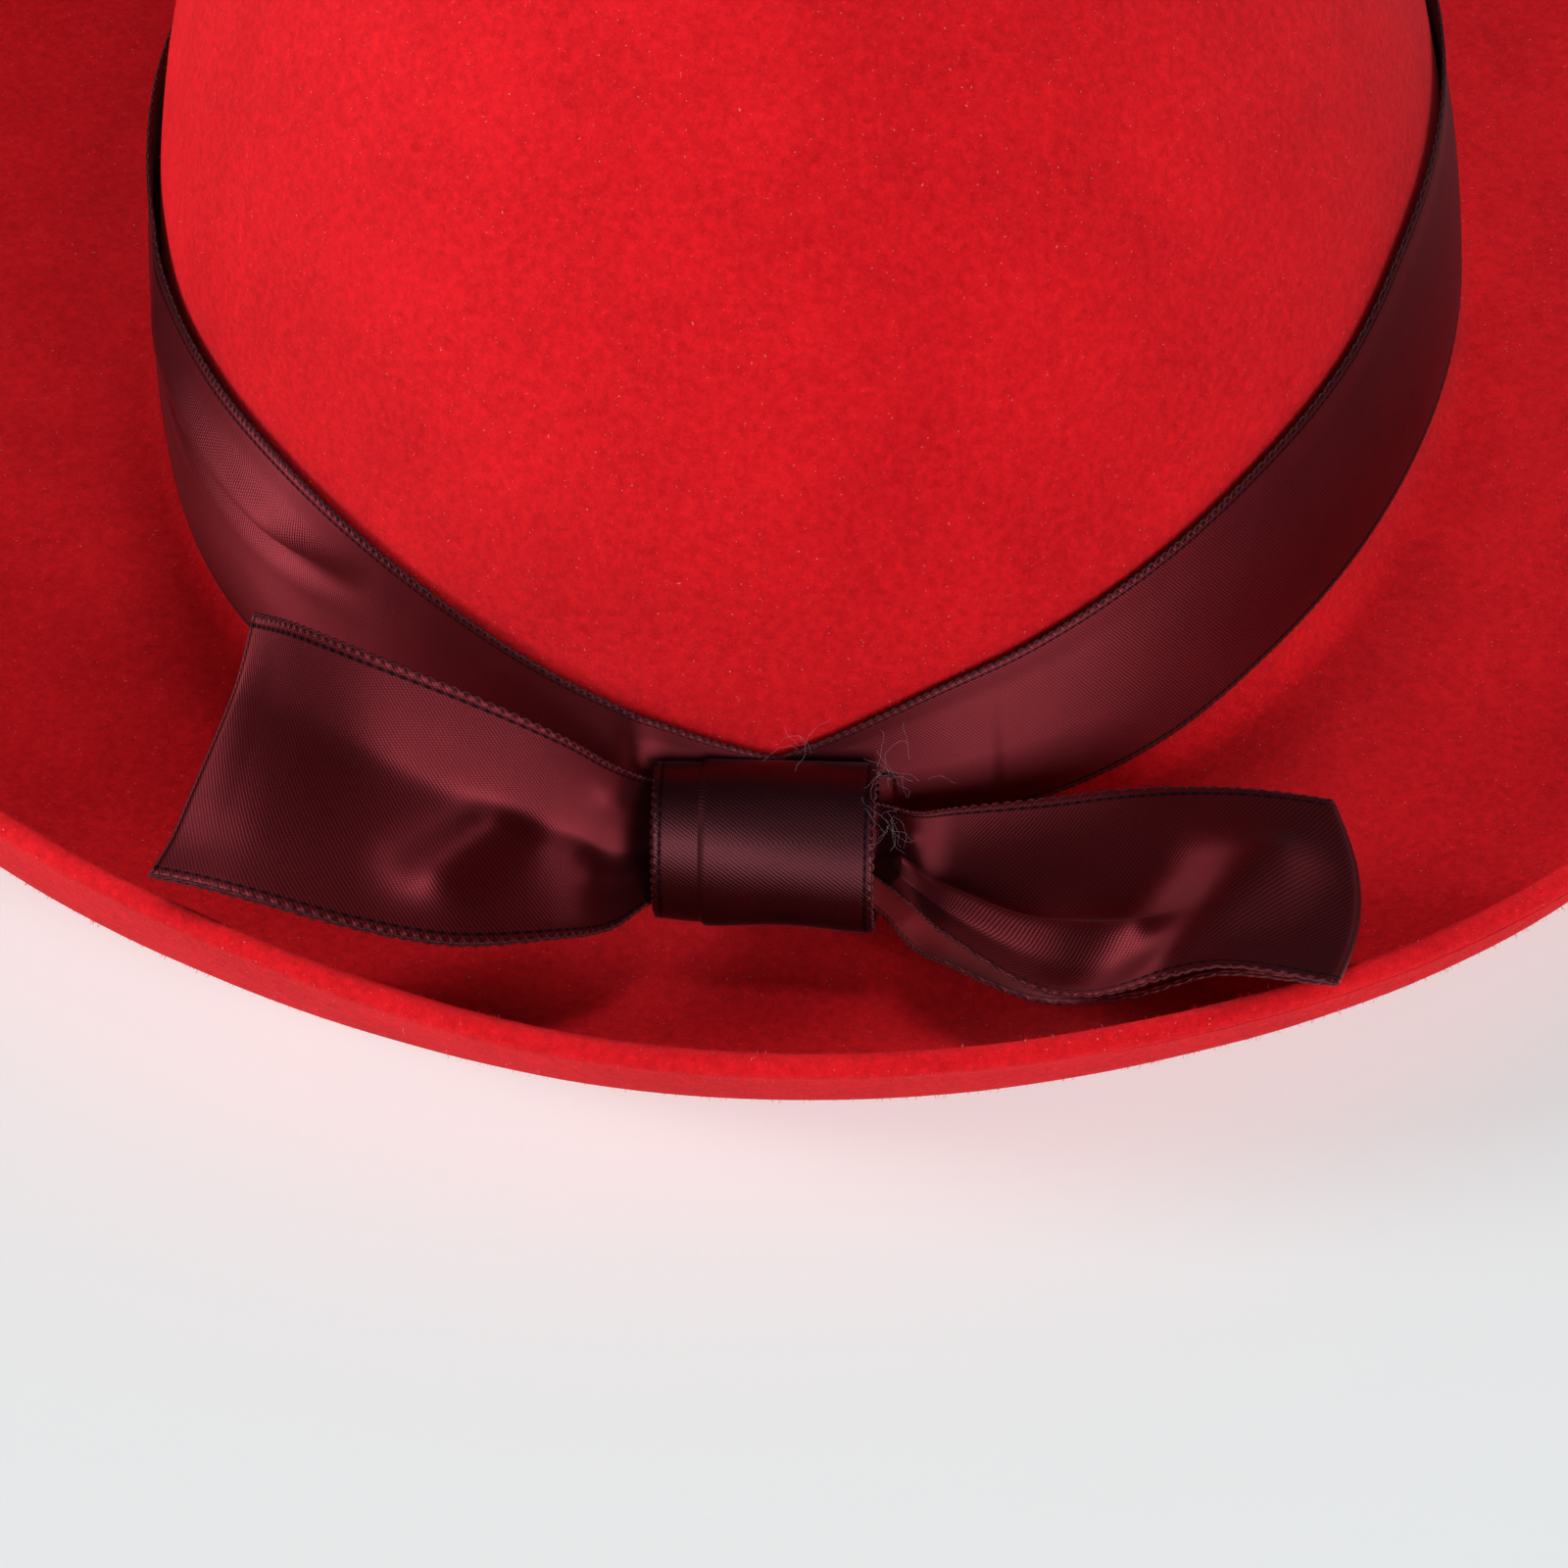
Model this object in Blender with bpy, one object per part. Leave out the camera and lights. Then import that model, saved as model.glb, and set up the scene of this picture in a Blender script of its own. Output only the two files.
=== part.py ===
"""Felt cloche hat with a full upturned brim, a satin ribbon band and a flat ribbon bow.

Metres, +Z up. The brim's flat underside stands on Z = 0 and the crown's axis is the Z axis. The front of
the hat, with the bow, faces -Y. Angles round the hat are counted in degrees from the front towards +X.
"""

import math
from collections import namedtuple

import bpy
from mathutils import Vector

# Felt body
FELT_THICKNESS = 0.0028
CROWN_HALF_WIDTH = 0.0840
CROWN_HALF_LENGTH = 0.1005
CROWN_HEIGHT = 0.1180
CROWN_TAPER = 0.12
DOME_POWER = 3.0
BREAK_RADIUS = 0.0025
BRIM_REACH_SIDE = 0.0560
BRIM_REACH_FRONT = 0.0478
BRIM_FLAT_SHARE = 0.36
RIM_HEIGHT = 0.0260
CURL_LEVEL_PULL = 0.72

# Ribbon
RIBBON_WIDTH = 0.03175
RIBBON_THICKNESS = 0.0010
RIBBON_GAP = 0.00035
SEAM_ANGLE = 3.4

# Bow
LOOP_CLEARANCE = 0.0012
BOW_SIDE_SHIFT = 0.0032
KNOT_WIDTH = 0.0250
KNOT_HALF_HEIGHT = 0.0090
KNOT_HALF_DEPTH = 0.0055
KNOT_LIFT = 0.0143
KNOT_TILT = 46.0

# Looks
FELT_COLOUR = (0.58, 0.012, 0.012)
FELT_ROUGHNESS = 0.95
SATIN_COLOUR = (0.080, 0.010, 0.018)
SATIN_ROUGHNESS = 0.38

# Fineness of the facets
STEPS_ROUND = 60
CROWN_ROWS = 14
CROWN_ROW_SPREAD = 0.85
BREAK_STEPS = 3
HALVINGS = 24
LIFT_EASING = 8
FLAT_ROW_SHARES = (0.08, 0.92)
CURL_ROWS = 8
BAND_CELLS = 4
LOOP_CELLS = 6
LOOP_STEPS_PER_ROW = 2
FOLD_STEPS = 4
KNOT_STEPS = 24
KNOT_CELLS = 6

# The rim round the hat: its height as a share of RIM_HEIGHT, how steep the turned-up wall ends, and how
# far down the wall that steepness holds.
RimRow = namedtuple("RimRow", "angle height slope pull")
RIM = (
    RimRow(-90, 1.30, 88, 0.60),
    RimRow(-48, 1.28, 88, 0.60),
    RimRow(-24, 1.25, 68, 0.50),
    RimRow(-7, 1.05, 58, 0.45),
    RimRow(20, 0.91, 74, 0.50),
    RimRow(45, 0.73, 89, 0.70),
    RimRow(90, 0.72, 80, 0.62),
    RimRow(180, 1.00, 76, 0.55),
)

# Soft hollows in the crown's wall. Up is a share of CROWN_HEIGHT, depth a share of FELT_THICKNESS.
Dent = namedtuple("Dent", "angle up spread_angle spread_up depth")
DENTS = (
    Dent(-72, 0.12, 13, 0.22, 0.50),
    Dent(24, 0.62, 26, 0.20, 0.30),
    Dent(-140, 0.50, 30, 0.24, 0.30),
)

# The band's edges above the brim break, and how far its middle stands off the felt, in ribbon widths.
BandRow = namedtuple("BandRow", "angle lower upper stand_off")
BAND = (
    BandRow(-120, 0.028, 1.017, 0.010),
    BandRow(-90, 0.028, 1.011, 0.015),
    BandRow(-68, 0.022, 1.005, 0.030),
    BandRow(-55, 0.028, 1.042, 0.050),
    BandRow(-42, 0.047, 1.024, 0.040),
    BandRow(-27, 0.060, 0.891, 0.020),
    BandRow(-12, 0.072, 0.690, 0.010),
    BandRow(SEAM_ANGLE, 0.085, 0.466, 0.000),
    BandRow(15, 0.082, 0.674, 0.010),
    BandRow(23, 0.041, 0.762, 0.015),
    BandRow(35, 0.057, 0.894, 0.020),
    BandRow(46, 0.129, 1.002, 0.020),
    BandRow(58, 0.176, 1.083, 0.020),
    BandRow(70, 0.205, 1.187, 0.015),
    BandRow(90, 0.198, 1.194, 0.010),
    BandRow(120, 0.148, 1.143, 0.010),
    BandRow(180, 0.054, 1.049, 0.010),
)

# Each loop of the bow from inside the knot to its folded end, in ribbon widths from the knot's middle.
# Out runs away from the knot, back towards the crown. The rear layer lies gap behind the front one, and
# its lower edge slips past the front's. Bulge and pleat round the layers, belly rounds the folded end.
LoopRow = namedtuple(
    "LoopRow",
    "top_out top_back top_up low_out low_back low_up gap_top gap_low slip bulge pleat belly",
)
LOOP_LEFT = (
    LoopRow(0.252, 0.122, 0.167, 0.252, -0.156, -0.134, 0.057, 0.057, 0.000, 0.050, 0.000, 0.000),
    LoopRow(0.397, 0.124, 0.169, 0.397, -0.165, -0.143, 0.057, 0.057, 0.000, 0.050, 0.010, 0.000),
    LoopRow(0.542, 0.082, 0.290, 0.542, -0.343, -0.101, 0.090, 0.090, 0.000, 0.050, 0.030, 0.000),
    LoopRow(0.731, 0.066, 0.460, 0.731, -0.476, -0.013, 0.126, 0.126, 0.000, 0.050, 0.030, 0.000),
    LoopRow(1.046, 0.044, 0.687, 1.046, -0.658, 0.145, 0.140, 0.140, 0.000, 0.050, 0.020, 0.000),
    LoopRow(1.361, 0.006, 0.904, 1.361, -0.769, 0.325, 0.120, 0.120, 0.000, 0.030, 0.010, 0.000),
    LoopRow(1.575, -0.047, 1.083, 1.707, -0.857, 0.545, 0.090, 0.090, 0.000, 0.015, 0.000, 0.000),
    LoopRow(1.704, -0.094, 1.187, 1.994, -0.907, 0.690, 0.070, 0.070, 0.000, 0.000, 0.000, 0.000),
)
LOOP_RIGHT = (
    LoopRow(0.252, 0.062, 0.137, 0.252, -0.131, -0.027, 0.079, 0.082, 0.107, 0.020, 0.000, 0.000),
    LoopRow(0.397, 0.066, 0.140, 0.397, -0.135, -0.020, 0.079, 0.085, 0.110, 0.020, 0.000, 0.000),
    LoopRow(0.545, 0.019, 0.148, 0.545, -0.328, 0.038, 0.085, 0.142, 0.095, 0.020, 0.020, 0.000),
    LoopRow(0.687, 0.047, 0.148, 0.687, -0.469, 0.025, 0.090, 0.132, 0.041, 0.040, 0.030, 0.000),
    LoopRow(1.002, 0.088, 0.164, 1.002, -0.746, 0.069, 0.090, 0.128, -0.039, 0.050, 0.020, 0.000),
    LoopRow(1.317, 0.113, 0.200, 1.317, -0.870, 0.190, 0.085, 0.100, -0.057, 0.040, 0.000, 0.000),
    LoopRow(1.631, 0.082, 0.250, 1.631, -0.885, 0.320, 0.080, 0.072, -0.038, 0.020, 0.000, 0.020),
    LoopRow(2.003, 0.028, 0.285, 2.003, -0.932, 0.345, 0.075, 0.072, -0.038, 0.000, 0.000, 0.085),
)


def clear_scene():
    for obj in list(bpy.data.objects):
        bpy.data.objects.remove(obj, do_unlink=True)


def make_material(name, colour, roughness):
    material = bpy.data.materials.new(name)
    material.use_nodes = True
    shader = material.node_tree.nodes["Principled BSDF"]
    shader.inputs["Base Color"].default_value = (*colour, 1.0)
    shader.inputs["Roughness"].default_value = roughness
    shader.inputs["Metallic"].default_value = 0.0
    return material


def curve_through(places, values, at):
    """The value at one place on a smooth curve through the given values, with the ends held."""
    last = len(places) - 1
    if at <= places[0]:
        return values[0]
    if at >= places[last]:
        return values[last]
    i = max(k for k in range(last) if places[k] <= at)

    def slope(k):
        before, after = max(k - 1, 0), min(k + 1, last)
        return (values[after] - values[before]) / (places[after] - places[before])

    span = places[i + 1] - places[i]
    t = (at - places[i]) / span
    return (
        (2 * t**3 - 3 * t**2 + 1) * values[i]
        + (t**3 - 2 * t**2 + t) * span * slope(i)
        + (3 * t**2 - 2 * t**3) * values[i + 1]
        + (t**3 - t**2) * span * slope(i + 1)
    )


def around(table, column, angle, smooth):
    """A column of a table whose rows go once round the hat, read at any angle."""
    rows = [(row.angle + turn, getattr(row, column)) for turn in (-360, 0, 360) for row in table]
    angle = (angle + 180) % 360 - 180
    places, values = zip(*rows)
    if smooth:
        return curve_through(places, values, angle)
    i = max(k for k in range(len(places) - 1) if places[k] <= angle)
    t = (angle - places[i]) / (places[i + 1] - places[i])
    return values[i] * (1 - t) + values[i + 1] * t


def on_oval(half_width, half_length, angle, height):
    turn = math.radians(angle)
    return Vector((half_width * math.sin(turn), -half_length * math.cos(turn), height))


def oval_normal(half_width, half_length, angle):
    turn = math.radians(angle)
    return Vector((math.sin(turn) / half_width, -math.cos(turn) / half_length, 0.0)).normalized()


def hollow_at(angle, up):
    """How deep the soft dents are here, in metres."""
    depth = 0.0
    for dent in DENTS:
        turn = ((angle - dent.angle + 180) % 360 - 180) / dent.spread_angle
        rise = (up - dent.up) / dent.spread_up
        depth += dent.depth * math.exp(-turn * turn - rise * rise)
    return depth * FELT_THICKNESS


def crown_point(angle, height):
    """A point of the crown's outside: its oval tapers a little and rounds over to the dome."""
    up = min(max((height - FELT_THICKNESS) / (CROWN_HEIGHT - FELT_THICKNESS), 0.0), 1.0)
    share = (1 - CROWN_TAPER * up) * math.sqrt(1 - up**DOME_POWER)
    point = on_oval(CROWN_HALF_WIDTH * share, CROWN_HALF_LENGTH * share, angle, height)
    return point - oval_normal(CROWN_HALF_WIDTH, CROWN_HALF_LENGTH, angle) * hollow_at(angle, up)


def brim_point(angle, out, height):
    """A point of the brim's upper side, out metres from the crown's foot."""
    share = out / brim_reach(angle)
    half_width = CROWN_HALF_WIDTH + BRIM_REACH_SIDE * share
    half_length = CROWN_HALF_LENGTH + BRIM_REACH_FRONT * share
    return on_oval(half_width, half_length, angle, height)


def brim_reach(angle):
    turn = math.radians(angle)
    return math.hypot(BRIM_REACH_SIDE * math.sin(turn), BRIM_REACH_FRONT * math.cos(turn))


def felt_section(angle):
    """The felt's upper side at one angle, from just off the crown's top out to the rim."""
    foot = FELT_THICKNESS + BREAK_RADIUS
    points = []
    for i in range(CROWN_ROWS - 1, 0, -1):
        up = math.sin(math.pi / 2 * i / CROWN_ROWS) ** CROWN_ROW_SPREAD
        points.append(crown_point(angle, foot + (CROWN_HEIGHT - foot) * up))
    points.append(crown_point(angle, foot))
    for i in range(1, BREAK_STEPS + 1):
        bend = math.pi / 2 * i / BREAK_STEPS
        height = foot - BREAK_RADIUS * math.sin(bend)
        points.append(brim_point(angle, BREAK_RADIUS * (1 - math.cos(bend)), height))
    curl = curl_profile(angle)
    for share in FLAT_ROW_SHARES:
        out = BREAK_RADIUS + share * (curl[0].x - BREAK_RADIUS)
        points.append(brim_point(angle, out, FELT_THICKNESS))
    points.extend(brim_point(angle, place.x, place.y) for place in curl)
    return points


def curl_profile(angle):
    """The turned-up part of the brim, as distance out and height: level at its start, steep at the rim."""
    reach = brim_reach(angle)
    flat_end = BREAK_RADIUS + BRIM_FLAT_SHARE * (reach - BREAK_RADIUS)
    rim_height = RIM_HEIGHT * around(RIM, "height", angle, smooth=True)
    slope = math.radians(around(RIM, "slope", angle, smooth=True))
    pull = around(RIM, "pull", angle, smooth=True) * (rim_height - FELT_THICKNESS)
    start = Vector((flat_end, FELT_THICKNESS))
    level = start + Vector((CURL_LEVEL_PULL * (reach - flat_end), 0.0))
    end = Vector((reach, rim_height))
    steep = end - pull * Vector((math.cos(slope) / math.sin(slope), 1.0))
    profile = []
    for i in range(CURL_ROWS + 1):
        t = i / CURL_ROWS
        profile.append(
            (1 - t) ** 3 * start
            + 3 * t * (1 - t) ** 2 * level
            + 3 * t**2 * (1 - t) * steep
            + t**3 * end
        )
    return profile


def felt_top(spot):
    """The height of the felt under a spot over the brim. Beside the steep wall it is the wall's height."""
    near, far = 0.0, 2.0
    for _ in range(HALVINGS):
        share = (near + far) / 2
        x = spot.x / (CROWN_HALF_WIDTH + BRIM_REACH_SIDE * share)
        y = spot.y / (CROWN_HALF_LENGTH + BRIM_REACH_FRONT * share)
        near, far = (near, share) if math.hypot(x, y) < 1 else (share, far)
    angle = math.degrees(math.atan2(x, -y))
    out = share * brim_reach(angle)
    profile = curl_profile(angle)
    if out > profile[-1].x + FELT_THICKNESS + LOOP_CLEARANCE:
        return 0.0
    out = min(max(out + LOOP_CLEARANCE, profile[0].x), profile[-1].x)
    i = max(k for k in range(CURL_ROWS) if profile[k].x <= out)
    t = (out - profile[i].x) / (profile[i + 1].x - profile[i].x)
    return profile[i].lerp(profile[i + 1], min(t, 1.0)).y


def surface(name, rows, close_rows=False, tip=None):
    """A surface from rows of points. A tip closes the start of every row with one point."""
    points = [point for row in rows for point in row]
    width = len(rows[0])
    faces = []
    for i in range(len(rows) if close_rows else len(rows) - 1):
        here, there = i * width, (i + 1) % len(rows) * width
        for j in range(width - 1):
            faces.append((here + j, here + j + 1, there + j + 1, there + j))
        if tip is not None:
            faces.append((len(points), here, there))
    if tip is not None:
        points.append(tip)
    mesh = bpy.data.meshes.new(name)
    mesh.from_pydata([tuple(point) for point in points], [], faces)
    obj = bpy.data.objects.new(name, mesh)
    bpy.context.scene.collection.objects.link(obj)
    mesh.shade_smooth()
    return obj


def thicken(obj, thickness, side):
    """Gives a surface its wall: side 1 outside it, -1 inside it, 0 half on each side."""
    wall = obj.modifiers.new("wall", "SOLIDIFY")
    wall.thickness = thickness
    wall.offset = side


def make_felt_body(material):
    rows = [felt_section(SEAM_ANGLE + 360 * i / STEPS_ROUND) for i in range(STEPS_ROUND)]
    body = surface("felt_body", rows, close_rows=True, tip=Vector((0, 0, CROWN_HEIGHT)))
    body.data.materials.append(material)
    thicken(body, FELT_THICKNESS, -1)
    return body


def make_band(material):
    foot = FELT_THICKNESS + BREAK_RADIUS
    rows = []
    for i in range(STEPS_ROUND):
        angle = SEAM_ANGLE + 360 * i / STEPS_ROUND
        lower = foot + RIBBON_WIDTH * around(BAND, "lower", angle, smooth=False)
        upper = foot + RIBBON_WIDTH * around(BAND, "upper", angle, smooth=False)
        stand_off = RIBBON_WIDTH * around(BAND, "stand_off", angle, smooth=False)
        normal = oval_normal(CROWN_HALF_WIDTH, CROWN_HALF_LENGTH, angle)
        row = []
        for j in range(BAND_CELLS + 1):
            share = 1 - j / BAND_CELLS
            point = crown_point(angle, lower + (upper - lower) * share)
            row.append(point + normal * (RIBBON_GAP + stand_off * math.sin(math.pi * share)))
        rows.append(row)
    band = surface("ribbon_band", rows, close_rows=True)
    band.data.materials.append(material)
    thicken(band, RIBBON_THICKNESS, 1)
    return band


def knot_axes():
    """The knot's long direction, up and back, and its short one, up and forward."""
    tilt = math.radians(KNOT_TILT)
    return Vector((0, math.cos(tilt), math.sin(tilt))), Vector((0, -math.sin(tilt), math.cos(tilt)))


def knot_middle():
    """The knot's middle, where its oval just clears the band on the crown's front."""
    long_way, short_way = knot_axes()
    back_long, back_short = KNOT_HALF_HEIGHT * long_way.y, KNOT_HALF_DEPTH * short_way.y
    reach_back = math.hypot(back_long, back_short)
    rise = (
        KNOT_HALF_HEIGHT * back_long * long_way.z + KNOT_HALF_DEPTH * back_short * short_way.z
    ) / reach_back
    band_face = crown_point(0, KNOT_LIFT + rise).y - RIBBON_GAP - RIBBON_THICKNESS
    return Vector((BOW_SIDE_SHIFT, band_face - RIBBON_GAP - reach_back, KNOT_LIFT))


def make_knot(material):
    middle = knot_middle()
    long_way, short_way = knot_axes()
    rows = []
    for i in range(KNOT_STEPS):
        turn = 2 * math.pi * i / KNOT_STEPS
        row = []
        for j in range(KNOT_CELLS + 1):
            side = KNOT_WIDTH * (j / KNOT_CELLS - 0.5)
            row.append(
                middle
                + Vector((side, 0, 0))
                + long_way * KNOT_HALF_HEIGHT * math.sin(turn)
                + short_way * KNOT_HALF_DEPTH * math.cos(turn)
            )
        rows.append(row)
    knot = surface("bow_knot", rows, close_rows=True)
    knot.data.materials.append(material)
    thicken(knot, RIBBON_THICKNESS, -1)
    return knot


def loop_layers(table, side):
    """The front and rear layer of one loop, each as rows of points from the knot out to the fold."""
    middle = knot_middle()
    places = list(range(len(table)))
    front, rear = [], []
    for i in range((len(table) - 1) * LOOP_STEPS_PER_ROW + 1):
        at = i / LOOP_STEPS_PER_ROW
        row = LoopRow(*(curve_through(places, column, at) for column in zip(*table)))
        top = Vector((side * row.top_out, row.top_back, row.top_up))
        low = Vector((side * row.low_out, row.low_back, row.low_up))
        across = Vector((0, top.y - low.y, top.z - low.z)).normalized()
        facing = Vector((0, -across.z, across.y))
        rear_top = top - facing * row.gap_top
        rear_low = low - facing * row.gap_low - across * row.slip
        for layer, upper, lower, way in ((front, top, low, 1), (rear, rear_top, rear_low, -1)):
            points = []
            for j in range(LOOP_CELLS + 1):
                share = j / LOOP_CELLS
                swell = row.bulge * math.sin(math.pi * share) + row.pleat * math.sin(3 * math.pi * share)
                point = upper.lerp(lower, share) + facing * way * swell
                point.x += side * row.belly * math.sin(math.pi * share)
                points.append(middle + point * RIBBON_WIDTH)
            layer.append(points)
    return front, rear


def rest_on_felt(front, rear):
    """Lifts both layers where they would reach into the felt, and eases that lift along the loop."""
    lifts = []
    for pair in zip(front, rear):
        needs = [[felt_top(point) + LOOP_CLEARANCE - point.z for point in row] for row in pair]
        lifts.append([max(0.0, *both) for both in zip(*needs)])
    for _ in range(LIFT_EASING):
        for before, here, after in zip(lifts, lifts[1:], lifts[2:] + lifts[-1:]):
            for j in range(len(here)):
                here[j] = max(here[j], (before[j] + after[j]) / 2)
    for row, lift in zip(front + rear, lifts + lifts):
        for point, up in zip(row, lift):
            point.z += up


def fold_rows(front_end, rear_end, side):
    """The half-round turn that joins the rear layer's end to the front layer's."""
    rows = []
    for i in range(1, FOLD_STEPS):
        turn = math.pi * (i / FOLD_STEPS - 0.5)
        row = []
        for ahead, behind in zip(front_end, rear_end):
            half = (ahead - behind) / 2
            out = Vector((side, 0, 0)) * half.length * math.cos(turn)
            row.append((ahead + behind) / 2 + half * math.sin(turn) + out)
        rows.append(row)
    return rows


def make_loop(name, table, side, material):
    front, rear = loop_layers(table, side)
    rest_on_felt(front, rear)
    rows = rear + fold_rows(front[-1], rear[-1], side) + front[::-1]
    if side > 0:
        rows = rows[::-1]
    loop = surface(name, rows)
    loop.data.materials.append(material)
    thicken(loop, RIBBON_THICKNESS, 0)
    return loop


def main():
    clear_scene()
    make_felt_body(make_material("red_felt", FELT_COLOUR, FELT_ROUGHNESS))
    make_band(make_material("satin_band", SATIN_COLOUR, SATIN_ROUGHNESS))
    make_loop("bow_loop_left", LOOP_LEFT, -1, make_material("satin_left", SATIN_COLOUR, SATIN_ROUGHNESS))
    make_loop("bow_loop_right", LOOP_RIGHT, 1, make_material("satin_right", SATIN_COLOUR, SATIN_ROUGHNESS))
    make_knot(make_material("satin_knot", SATIN_COLOUR, SATIN_ROUGHNESS))


main()
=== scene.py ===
# %% [markdown]
# A felt cloche hat with a satin ribbon and a flat bow.
# The hat is one blocked piece of red wool felt. A burgundy satin ribbon goes round the crown, and its two
# ends meet in a shallow V at the front, under a small flat bow of two loops and a knot.
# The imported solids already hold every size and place, so they are loaded first and each visible piece is
# then modelled where its solid lies. The felt gets a rounded, fuzzy edge and a nap, and the thick ribbon
# solids are replaced by thin cloth with a woven face and a stitched edge.

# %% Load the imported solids
import math
import random

import bmesh
import bpy
from mathutils import Matrix, Vector, noise


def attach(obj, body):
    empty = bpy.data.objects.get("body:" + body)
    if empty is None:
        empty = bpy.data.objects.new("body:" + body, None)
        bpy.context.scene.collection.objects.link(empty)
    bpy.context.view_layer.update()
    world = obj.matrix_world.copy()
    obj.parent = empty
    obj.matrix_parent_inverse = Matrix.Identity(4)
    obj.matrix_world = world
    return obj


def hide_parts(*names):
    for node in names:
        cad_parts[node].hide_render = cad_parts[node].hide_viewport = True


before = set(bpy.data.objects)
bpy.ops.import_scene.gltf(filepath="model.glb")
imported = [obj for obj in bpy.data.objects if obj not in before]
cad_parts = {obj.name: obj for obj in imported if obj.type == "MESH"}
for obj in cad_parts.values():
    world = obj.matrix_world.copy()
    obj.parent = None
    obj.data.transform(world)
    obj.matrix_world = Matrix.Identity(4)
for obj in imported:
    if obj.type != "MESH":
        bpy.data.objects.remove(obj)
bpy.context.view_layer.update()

# %% [markdown]
# The photograph looks down on the front of the hat from 46 degrees, a little from its right side, with a
# long lens and a slight roll. The camera comes first, so every later piece can be looked at through it.
# Its place is worked out from those angles and a distance to a spot on the brim's front.

# %% Camera
CAMERA_LIFT, CAMERA_SIDE, CAMERA_ROLL = (math.radians(a) for a in (46.0, 6.5, -3.3))
CAMERA_DISTANCE, LENS_MM = 0.600, 120.4
LOOKS_AT = Vector((0.0050, -0.1022, 0.0180))

level = math.cos(CAMERA_LIFT)
back = Vector((math.sin(CAMERA_SIDE) * level, -math.cos(CAMERA_SIDE) * level, math.sin(CAMERA_LIFT)))
right = Vector((math.cos(CAMERA_SIDE), math.sin(CAMERA_SIDE), 0))
up = back.cross(right)
rolled_right = right * math.cos(CAMERA_ROLL) + up * math.sin(CAMERA_ROLL)
rolled_up = up * math.cos(CAMERA_ROLL) - right * math.sin(CAMERA_ROLL)

camera = bpy.data.objects.new("camera", bpy.data.cameras.new("camera"))
bpy.context.scene.collection.objects.link(camera)
camera.data.lens = LENS_MM
turned = Matrix((rolled_right, rolled_up, back)).transposed().to_4x4()
camera.matrix_world = Matrix.Translation(LOOKS_AT + back * CAMERA_DISTANCE) @ turned
bpy.context.scene.camera = camera
print("camera at", [round(x, 4) for x in camera.matrix_world.translation])

# %% [markdown]
# A felt hat gets its form on a wooden block. The same is done here: a plain tube of mesh is drawn out
# first, and then every point of it is set on the block's surface. These are the block's sizes, in metres.
# Turn means degrees round the hat, from the front towards the viewer's right.

# %% The block's sizes and tables
FELT_WALL = 0.0028
CROWN_WIDE, CROWN_LONG, CROWN_HIGH = 0.0840, 0.1005, 0.1180
CROWN_TAPER, DOME_POWER = 0.12, 3.0
BREAK_RADIUS = 0.0025
BRIM_SIDE, BRIM_FRONT, BRIM_FLAT_SHARE = 0.0560, 0.0478, 0.36
RIM_HIGH, CURL_LEVEL_PULL = 0.0260, 0.72
FOOT = FELT_WALL + BREAK_RADIUS
RIBBON_WIDE = 0.03175

# turn, rim height as a share of RIM_HIGH, how steep the wall ends, how far down it stays steep
RIM = (
    (-90, 1.30, 88, 0.60),
    (-48, 1.28, 88, 0.60),
    (-24, 1.25, 68, 0.50),
    (-7, 1.05, 58, 0.45),
    (20, 0.91, 74, 0.50),
    (45, 0.73, 89, 0.70),
    (90, 0.72, 80, 0.62),
    (180, 1.00, 76, 0.55),
)
# turn, share of the crown's height, spread in turn and in height, depth as a share of FELT_WALL
DENTS = ((-72, 0.12, 13, 0.22, 0.50), (24, 0.62, 26, 0.20, 0.30), (-140, 0.50, 30, 0.24, 0.30))


def eased(places, values, at):
    """The value at one place on a smooth curve through the given values."""
    last = len(places) - 1
    if at <= places[0]:
        return values[0]
    if at >= places[last]:
        return values[last]
    i = max(k for k in range(last) if places[k] <= at)

    def slope(k):
        before, after = max(k - 1, 0), min(k + 1, last)
        return (values[after] - values[before]) / (places[after] - places[before])

    span = places[i + 1] - places[i]
    t = (at - places[i]) / span
    return (
        (2 * t**3 - 3 * t**2 + 1) * values[i]
        + (t**3 - 2 * t**2 + t) * span * slope(i)
        + (3 * t**2 - 2 * t**3) * values[i + 1]
        + (t**3 - t**2) * span * slope(i + 1)
    )


def round_the_hat(table, column, turn):
    """A column of a table that goes once round the hat, read at any turn."""
    rows = [(row[0] + whole, row[column]) for whole in (-360, 0, 360) for row in table]
    places, values = zip(*rows)
    return eased(places, values, (turn + 180) % 360 - 180)


def smooth_step(low, high, at):
    t = min(max((at - low) / (high - low), 0.0), 1.0)
    return t * t * (3 - 2 * t)


print("rim height at the front:", round(RIM_HIGH * round_the_hat(RIM, 1, 0), 4))

# %% [markdown]
# The crown is an oval that tapers a little and rounds over to a dome, with three soft hollows pressed into
# it by hand. The brim leaves it in a tight break, runs level, and curls up to a rim that stands higher on
# the viewer's left than on the right. The curl is one Bezier curve for each turn.

# %% The block's surface
def oval(wide, long, turn, height):
    a = math.radians(turn)
    return Vector((wide * math.sin(a), -long * math.cos(a), height))


def crown_normal(turn):
    a = math.radians(turn)
    return Vector((math.sin(a) / CROWN_WIDE, -math.cos(a) / CROWN_LONG, 0)).normalized()


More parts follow.
